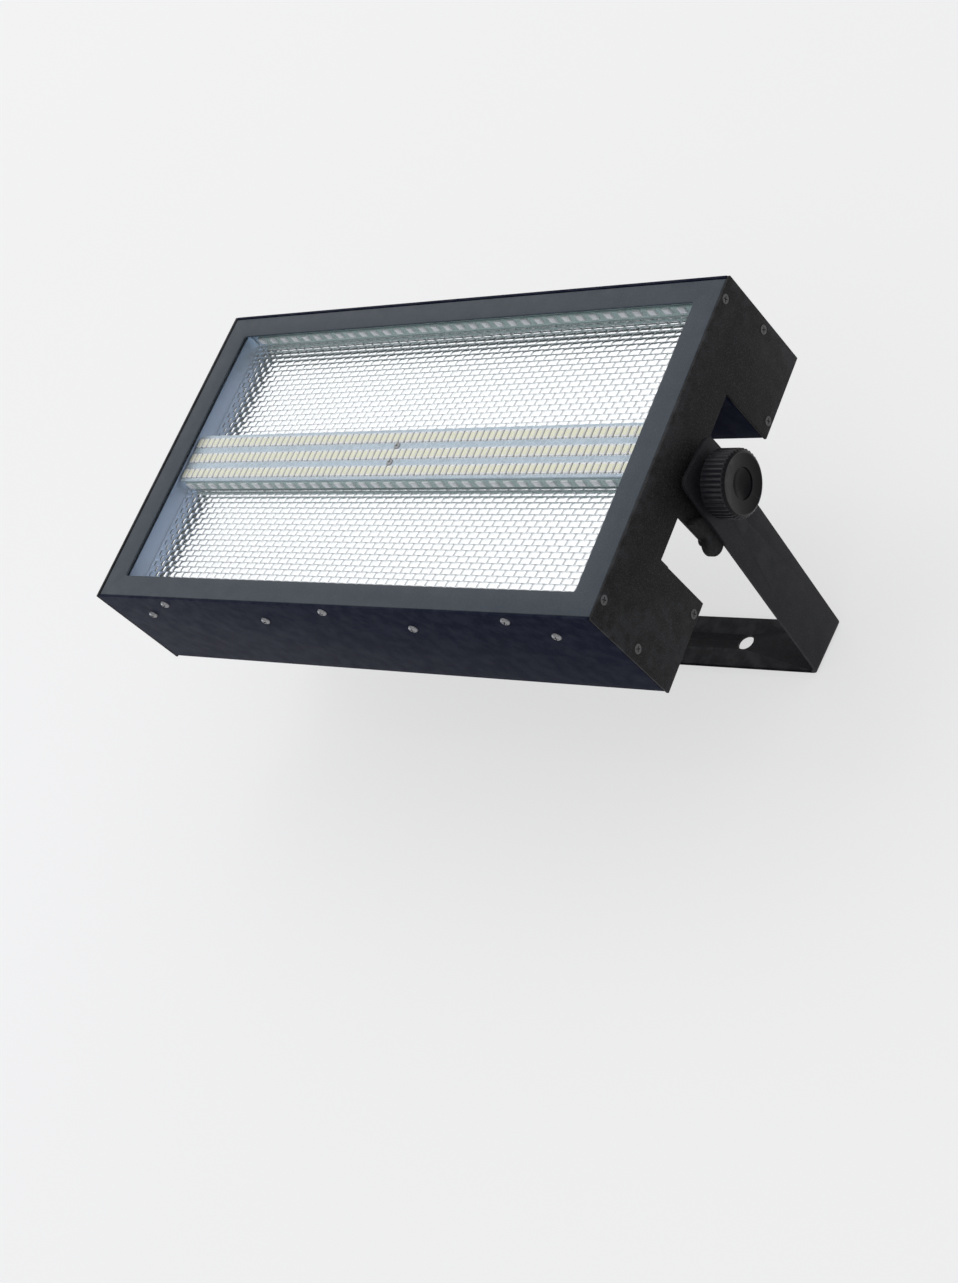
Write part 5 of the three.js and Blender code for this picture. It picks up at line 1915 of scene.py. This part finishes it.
@dataclass
class Connectors:
    """Sockets and fuse in the lower rear face, each drawn about its axis with its mouth towards -z."""

    shop: Workshop
    y: float = -84.5
    z: float = -80.8
    width: float = 26.0
    height: float = 31.0
    corner: float = 3.0
    flange: float = 2.0
    body_radius: float = 11.8
    deep: float = 22.0
    bore: float = 9.6
    bore_deep: float = 14.0
    body_start: float = -0.2
    floor_lap: float = 0.2
    floor_thick: float = 1.3
    power_places: tuple[tuple[str, float, float], ...] = (
        ("power_in_socket", -165.0, 0.0), ("power_out_socket", -125.0, 30.0),
    )
    data_in_x: float = 125.0
    data_out_x: float = 165.0
    contact_long: float = 4.6
    contact_wide: float = 1.6
    contact_circle: float = 5.4
    pin_radius: float = 1.2
    pin_circle: float = 4.2
    pin_long: float = 8.0
    insert_gap: float = 1.2
    latch_half: float = 4.3
    latch_pocket: float = 4.7
    screw_x: float = 9.5
    screw_y: float = 12.0
    fuse_x: float = -90.0
    fuse_collar: float = 8.4
    fuse_collar_thick: float = 2.0
    fuse_body: float = 6.6
    fuse_deep: float = 24.0
    fuse_plug: float = 4.7
    fuse_cap_radius: float = 6.0
    fuse_cap_tall: float = 6.0
    fuse_cap_ribs: int = 18
    fuse_slot: float = 1.4
    fuse_slot_deep: float = 1.2
    screw: Screw = Screw(ScrewHead.PAN, 2.6, 1.2, 1.5, 0.6, 0.8)

    def place(self, x: float) -> Matrix:
        """Placement of what is drawn about the axis at x."""
        return self.shop.face @ Matrix.Translation((x, self.y, self.z))

    def keyed(self, turn: float) -> Outline:
        """Outline of a power socket's mouth: a circle with one keyway.

        Args:
            turn: the keyway's angle from the head's top, in degrees.

        Returns:
            The points.
        """
        points = []
        for degree in range(0, 360, 5):
            away = abs((degree - 90 - turn + 180) % 360 - 180)
            reach = self.bore + (self.contact_wide if away <= 10 else 0.0)
            angle = math.radians(degree)
            points.append((reach * math.cos(angle), reach * math.sin(angle)))
        return points

    def flange_outline(self, pocket: bool) -> Outline:
        """Outline of a flange.

        Args:
            pocket: whether it has the pocket for a release latch.

        Returns:
            The points.
        """
        outline = rounded_rectangle(self.width, self.height, self.corner, 6)
        if not pocket:
            return outline
        top, half = self.height / 2, self.latch_half
        notch = [(half, top), (half, top - self.latch_pocket), (-half, top - self.latch_pocket), (-half, top)]
        return outline[:7] + notch + outline[7:]

    def shell(self, mouth: Profile, pocket: bool = False) -> Draft:
        """Draws a socket's flange and its round body with an open bore.

        Args:
            mouth: outline of the mouth.
            pocket: whether the flange has the pocket for a release latch.

        Returns:
            The draft.
        """
        draft = Draft().plate(self.flange_outline(pocket), [mouth], -self.flange, 0.0).bevel(0.45, 3, 60.0)
        draft.plate(circle(self.body_radius, sides=48), [mouth], self.body_start, self.bore_deep)
        draft.prism(circle(self.body_radius - 0.3, sides=48), self.bore_deep + 1.2, self.deep)
        return draft

    def flange_screws(self, name: str, x: float) -> None:
        """Sets the two screws of a socket's flange.

        Args:
            name: the socket's node.
            x: the socket's place.
        """
        rear = Matrix.Rotation(math.pi, 4, "X")
        spots = [
            Matrix.Translation((s * self.screw_x, -s * self.screw_y, -self.flange))
            @ rear @ Matrix.Rotation(x + s, 4, "Z")
            for s in (-1, 1)
        ]
        self.shop.screws(f"{name}_screws", self.screw, spots, self.place(x), self.shop.body(name))

    def power(self) -> None:
        """Makes the two power sockets, with three contacts at the bottom of each bore."""
        for name, x, turn in self.power_places:
            draft = self.shell(self.keyed(turn))
            slot = rounded_rectangle(self.contact_wide, self.contact_long, 0.4, 2)
            openings = []
            for third in range(3):
                angle = math.radians(turn + 120 * third)
                spin = Matrix.Rotation(angle, 2)
                openings.append([tuple(spin @ (Vector(p) + Vector((self.contact_circle, 0)))) for p in slot])
            low, high = self.bore_deep - self.floor_lap, self.bore_deep + self.floor_thick
            draft.plate(circle(self.bore + self.floor_lap, sides=48), openings, low, high)
            disc = circle(self.bore - 1.0, sides=32)
            draft.prism(disc, self.bore_deep + 1.1, self.bore_deep + 1.4, finish=1)
            slots = [self.shop.slot(name), Slot.SOLDER]
            self.shop.stand_in(draft, name, "moulded", self.place(x), slots)
            self.flange_screws(name, x)

    def pins(self) -> Outline:
        """Places of the three data contacts."""
        angles = [math.pi * (1 + k / 2) for k in range(3)]
        return [(self.pin_circle * math.cos(a), self.pin_circle * math.sin(a)) for a in angles]

    def data_in(self) -> None:
        """Makes the data input with its three pins."""
        name = "data_in_socket"
        draft = self.shell(circle(self.bore, sides=48))
        low, high = self.bore_deep - self.floor_lap, self.bore_deep + self.floor_thick
        draft.prism(circle(self.bore + self.floor_lap, sides=48), low, high)
        tip, pin = self.bore_deep - self.pin_long, self.pin_radius
        profile = [(0.0, tip), (0.5 * pin, tip + 0.1), (0.9 * pin, tip + 0.5), (pin, tip + 1.1)]
        profile += [(pin, self.bore_deep)]
        metal = Draft().lathe(profile, 20, finish=1).outward()
        draft.stamp(metal, [Matrix.Translation((x, y, 0)) for x, y in self.pins()])
        slots = [self.shop.slot(name), Slot.ZINC]
        self.shop.stand_in(draft, name, "moulded", self.place(self.data_in_x), slots)
        self.flange_screws(name, self.data_in_x)

    def data_out(self) -> None:
        """Makes the data output: an insert with three sleeves, and the pocket of the release latch."""
        name = "data_out_socket"
        draft = self.shell(circle(self.bore, sides=48), pocket=True)
        sleeves = [circle(self.pin_radius + 0.3, x, y, 20) for x, y in self.pins()]
        insert = self.bore - self.insert_gap
        draft.plate(circle(insert, sides=48), sleeves, -self.flange / 2, self.pin_long)
        draft.prism(circle(insert, sides=48), self.pin_long, self.bore_deep + 0.5)
        low, high = self.bore_deep - self.floor_lap, self.bore_deep + self.floor_thick
        draft.prism(circle(self.bore + self.floor_lap, sides=48), low, high)
        for x, y in self.pins():
            ring = circle(self.pin_radius + 0.25, x, y, 20)
            draft.plate(ring, [circle(self.pin_radius - 0.25, x, y, 20)], 0.2, self.pin_long - 0.1, finish=1)
        slots = [self.shop.slot(name), Slot.ZINC]
        self.shop.stand_in(draft, name, "moulded", self.place(self.data_out_x), slots)
        self.flange_screws(name, self.data_out_x)
        self.shop.softened("data_out_latch", 0.3, 3)

    def fuse(self) -> None:
        """Makes the fuse holder and its ribbed cap with a coin slot."""
        thick, bore = self.fuse_collar_thick, self.fuse_plug + 0.3
        body = [(bore, -thick), (self.fuse_collar - 0.5, -thick), (self.fuse_collar, 0.4 - thick)]
        deep = self.fuse_deep
        body += [(self.fuse_collar, 0.0), (self.fuse_body, 0.0), (self.fuse_body, deep), (0.0, deep)]
        body += [(0.0, deep / 2), (bore, deep / 2), (bore, -thick)]
        holder = Draft().lathe(body).outward()
        place = self.place(self.fuse_x)
        self.shop.stand_in(holder, "fuse_holder", "moulded", place, [Slot.PANEL])
        low, tall = -thick - 0.3, self.fuse_cap_tall
        end = low - tall + self.fuse_slot_deep
        count = 8 * self.fuse_cap_ribs
        rings = []
        levels = ((-0.5, low), (0.0, low - 0.4), (0.0, low - tall + 1.6), (-0.35, end))
        for grow, z in levels:
            ring = []
            for k in range(count):
                angle, wave = 2 * math.pi * k / count, 0.5 - 0.5 * math.cos(2 * math.pi * k / 8)
                reach = self.fuse_cap_radius + grow - 0.45 * wave
                ring.append(Vector((reach * math.cos(angle), reach * math.sin(angle), z)))
            rings.append(ring)
        cap = Draft().loft(rings, caps=True)
        slot = rounded_rectangle(1.75 * self.fuse_cap_radius, self.fuse_slot, 0.5, 3)
        cap.plate(circle(self.fuse_cap_radius - 0.45, sides=48), [slot], low - tall, end)
        cap.prism(circle(self.fuse_plug, sides=32), low - 0.1, deep / 2 - 0.3)
        cap.outward()
        self.shop.stand_in(cap, "fuse_cap", "moulded", place, [Slot.PANEL])

    def build(self) -> None:
        """Makes all sockets and the fuse."""
        self.power()
        self.data_in()
        self.data_out()
        self.fuse()


@dataclass
class ControlPanel:
    """Display and menu keys in the upper rear face."""

    shop: Workshop
    y: float = 84.5
    rear_face: float = -80.5
    inside: float = -78.7
    keys: int = 4
    key_x: float = 32.0
    key_pitch: float = 13.5
    key_radius: float = 4.2
    key_proud: float = 2.2
    key_flange: float = 1.2
    key_stem: float = 6.0

    def key(self, number: int) -> None:
        """Makes one key: a domed cap with a shallow dish, its flange and its stem.

        Args:
            number: the key's number, from 1.
        """
        radius, tip, inside = self.key_radius, self.rear_face - self.key_proud, self.inside
        profile = [(0.0, tip + 0.35), (0.45 * radius, tip + 0.25), (0.72 * radius, tip)]
        profile += [(radius - 0.5, tip + 0.1), (radius - 0.12, tip + 0.45), (radius, tip + 1.0)]
        profile += [(radius, inside), (radius + self.key_flange, inside)]
        profile += [(radius + self.key_flange, inside + self.key_flange)]
        profile += [(radius / 2, inside + self.key_flange + 0.6), (radius / 2, inside + self.key_stem)]
        profile += [(0.0, inside + self.key_stem)]
        draft = Draft().lathe(profile, 40).outward()
        x = self.key_x + (number - 1) * self.key_pitch
        place = self.shop.face @ Matrix.Translation((x, self.y, 0))
        self.shop.stand_in(draft, f"menu_key_{number}", "moulded", place, [Slot.KEY])

    def build(self) -> None:
        """Makes the display and the keys."""
        self.shop.softened("display_frame", 0.4, 3)
        self.shop.dressed("display_glass")
        for number in range(1, self.keys + 1):
            self.key(number)


@dataclass
class Inside:
    """Heat sink, boards and power supply."""

    shop: Workshop
    sink_front: float = -29.1
    sink_base: float = 3.6
    sink_half: float = 50.0
    sink_length: float = 380.0
    fin_count: int = 13
    fin_margin: float = 11.6
    fin_thick: float = 1.8
    fin_length: float = 32.0
    fin_run: float = 300.0
    fin_root: float = 0.9
    pedestal_half: float = 16.3
    pedestal_top: float = -9.9

    def fin(self) -> Outline:
        """Section of one fin as (y, z), with a fillet at its root and a round tip; its root lies on z = 0.

        Returns:
            The points.
        """
        half, root, tip = self.fin_thick / 2, self.fin_root, self.fin_length - 0.6
        fillet = arc((half + root, -root), root, 90.0, 180.0, 4)
        left = [(-a, b) for a, b in fillet]
        bottom = [(-half, -tip), (-half + 0.25, -tip - 0.45), (0.0, -self.fin_length)]
        bottom += [(half - 0.25, -tip - 0.45), (half, -tip)]
        return [*left, *bottom, *reversed(fillet), (half + root, 0.2), (-half - root, 0.2)]

    def heat_sink(self) -> None:
        """Makes the heat sink: a base with fins behind and a pedestal into the lamp bar."""
        base = self.sink_front - self.sink_base
        pitch = 2 * (self.sink_half - self.fin_margin) / (self.fin_count - 1)
        half = self.sink_length / 2
        slab = [(-self.sink_half, base), (self.sink_half, base), (self.sink_half, self.sink_front)]
        slab += [(-self.sink_half, self.sink_front)]
        block = [(-self.pedestal_half, self.sink_front - 0.5), (self.pedestal_half, self.sink_front - 0.5)]
        block += [(self.pedestal_half, self.pedestal_top), (-self.pedestal_half, self.pedestal_top)]
        draft = Draft().prism(slab, -half, half).prism(block, -half, half).bevel(0.4, 2, 50.0)
        for y in centred(self.fin_count, pitch):
            section = [(y + a, base + b) for a, b in self.fin()]
            draft.prism(section, -self.fin_run / 2, self.fin_run / 2)
        draft.turned(ALONG_X)
        draft.outward()
        self.shop.stand_in(draft, "heat_sink", "drawn", self.shop.face, [Slot.SINK])

    def build(self) -> None:
        """Makes the heat sink and dresses the rest."""
        self.heat_sink()
        for node in ("power_supply", "lamp_driver", "control_board"):
            self.shop.softened(node, 0.2)


def main() -> None:
    """Builds the strobe light and its studio."""
    logging.basicConfig(level=logging.INFO, format="%(name)s: %(message)s")
    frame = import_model()
    shop = Workshop(frame)
    Studio().build()
    parts = [Yoke(shop), Case(shop), Window(shop), Lamp(shop), Pivot(shop)]
    parts += [*(Fan(shop, side) for side in Side), Connectors(shop), ControlPanel(shop), Inside(shop)]
    for assembly in parts:
        assembly.build()
        log.info("%s done", type(assembly).__name__)


if __name__ == "__main__":
    main()
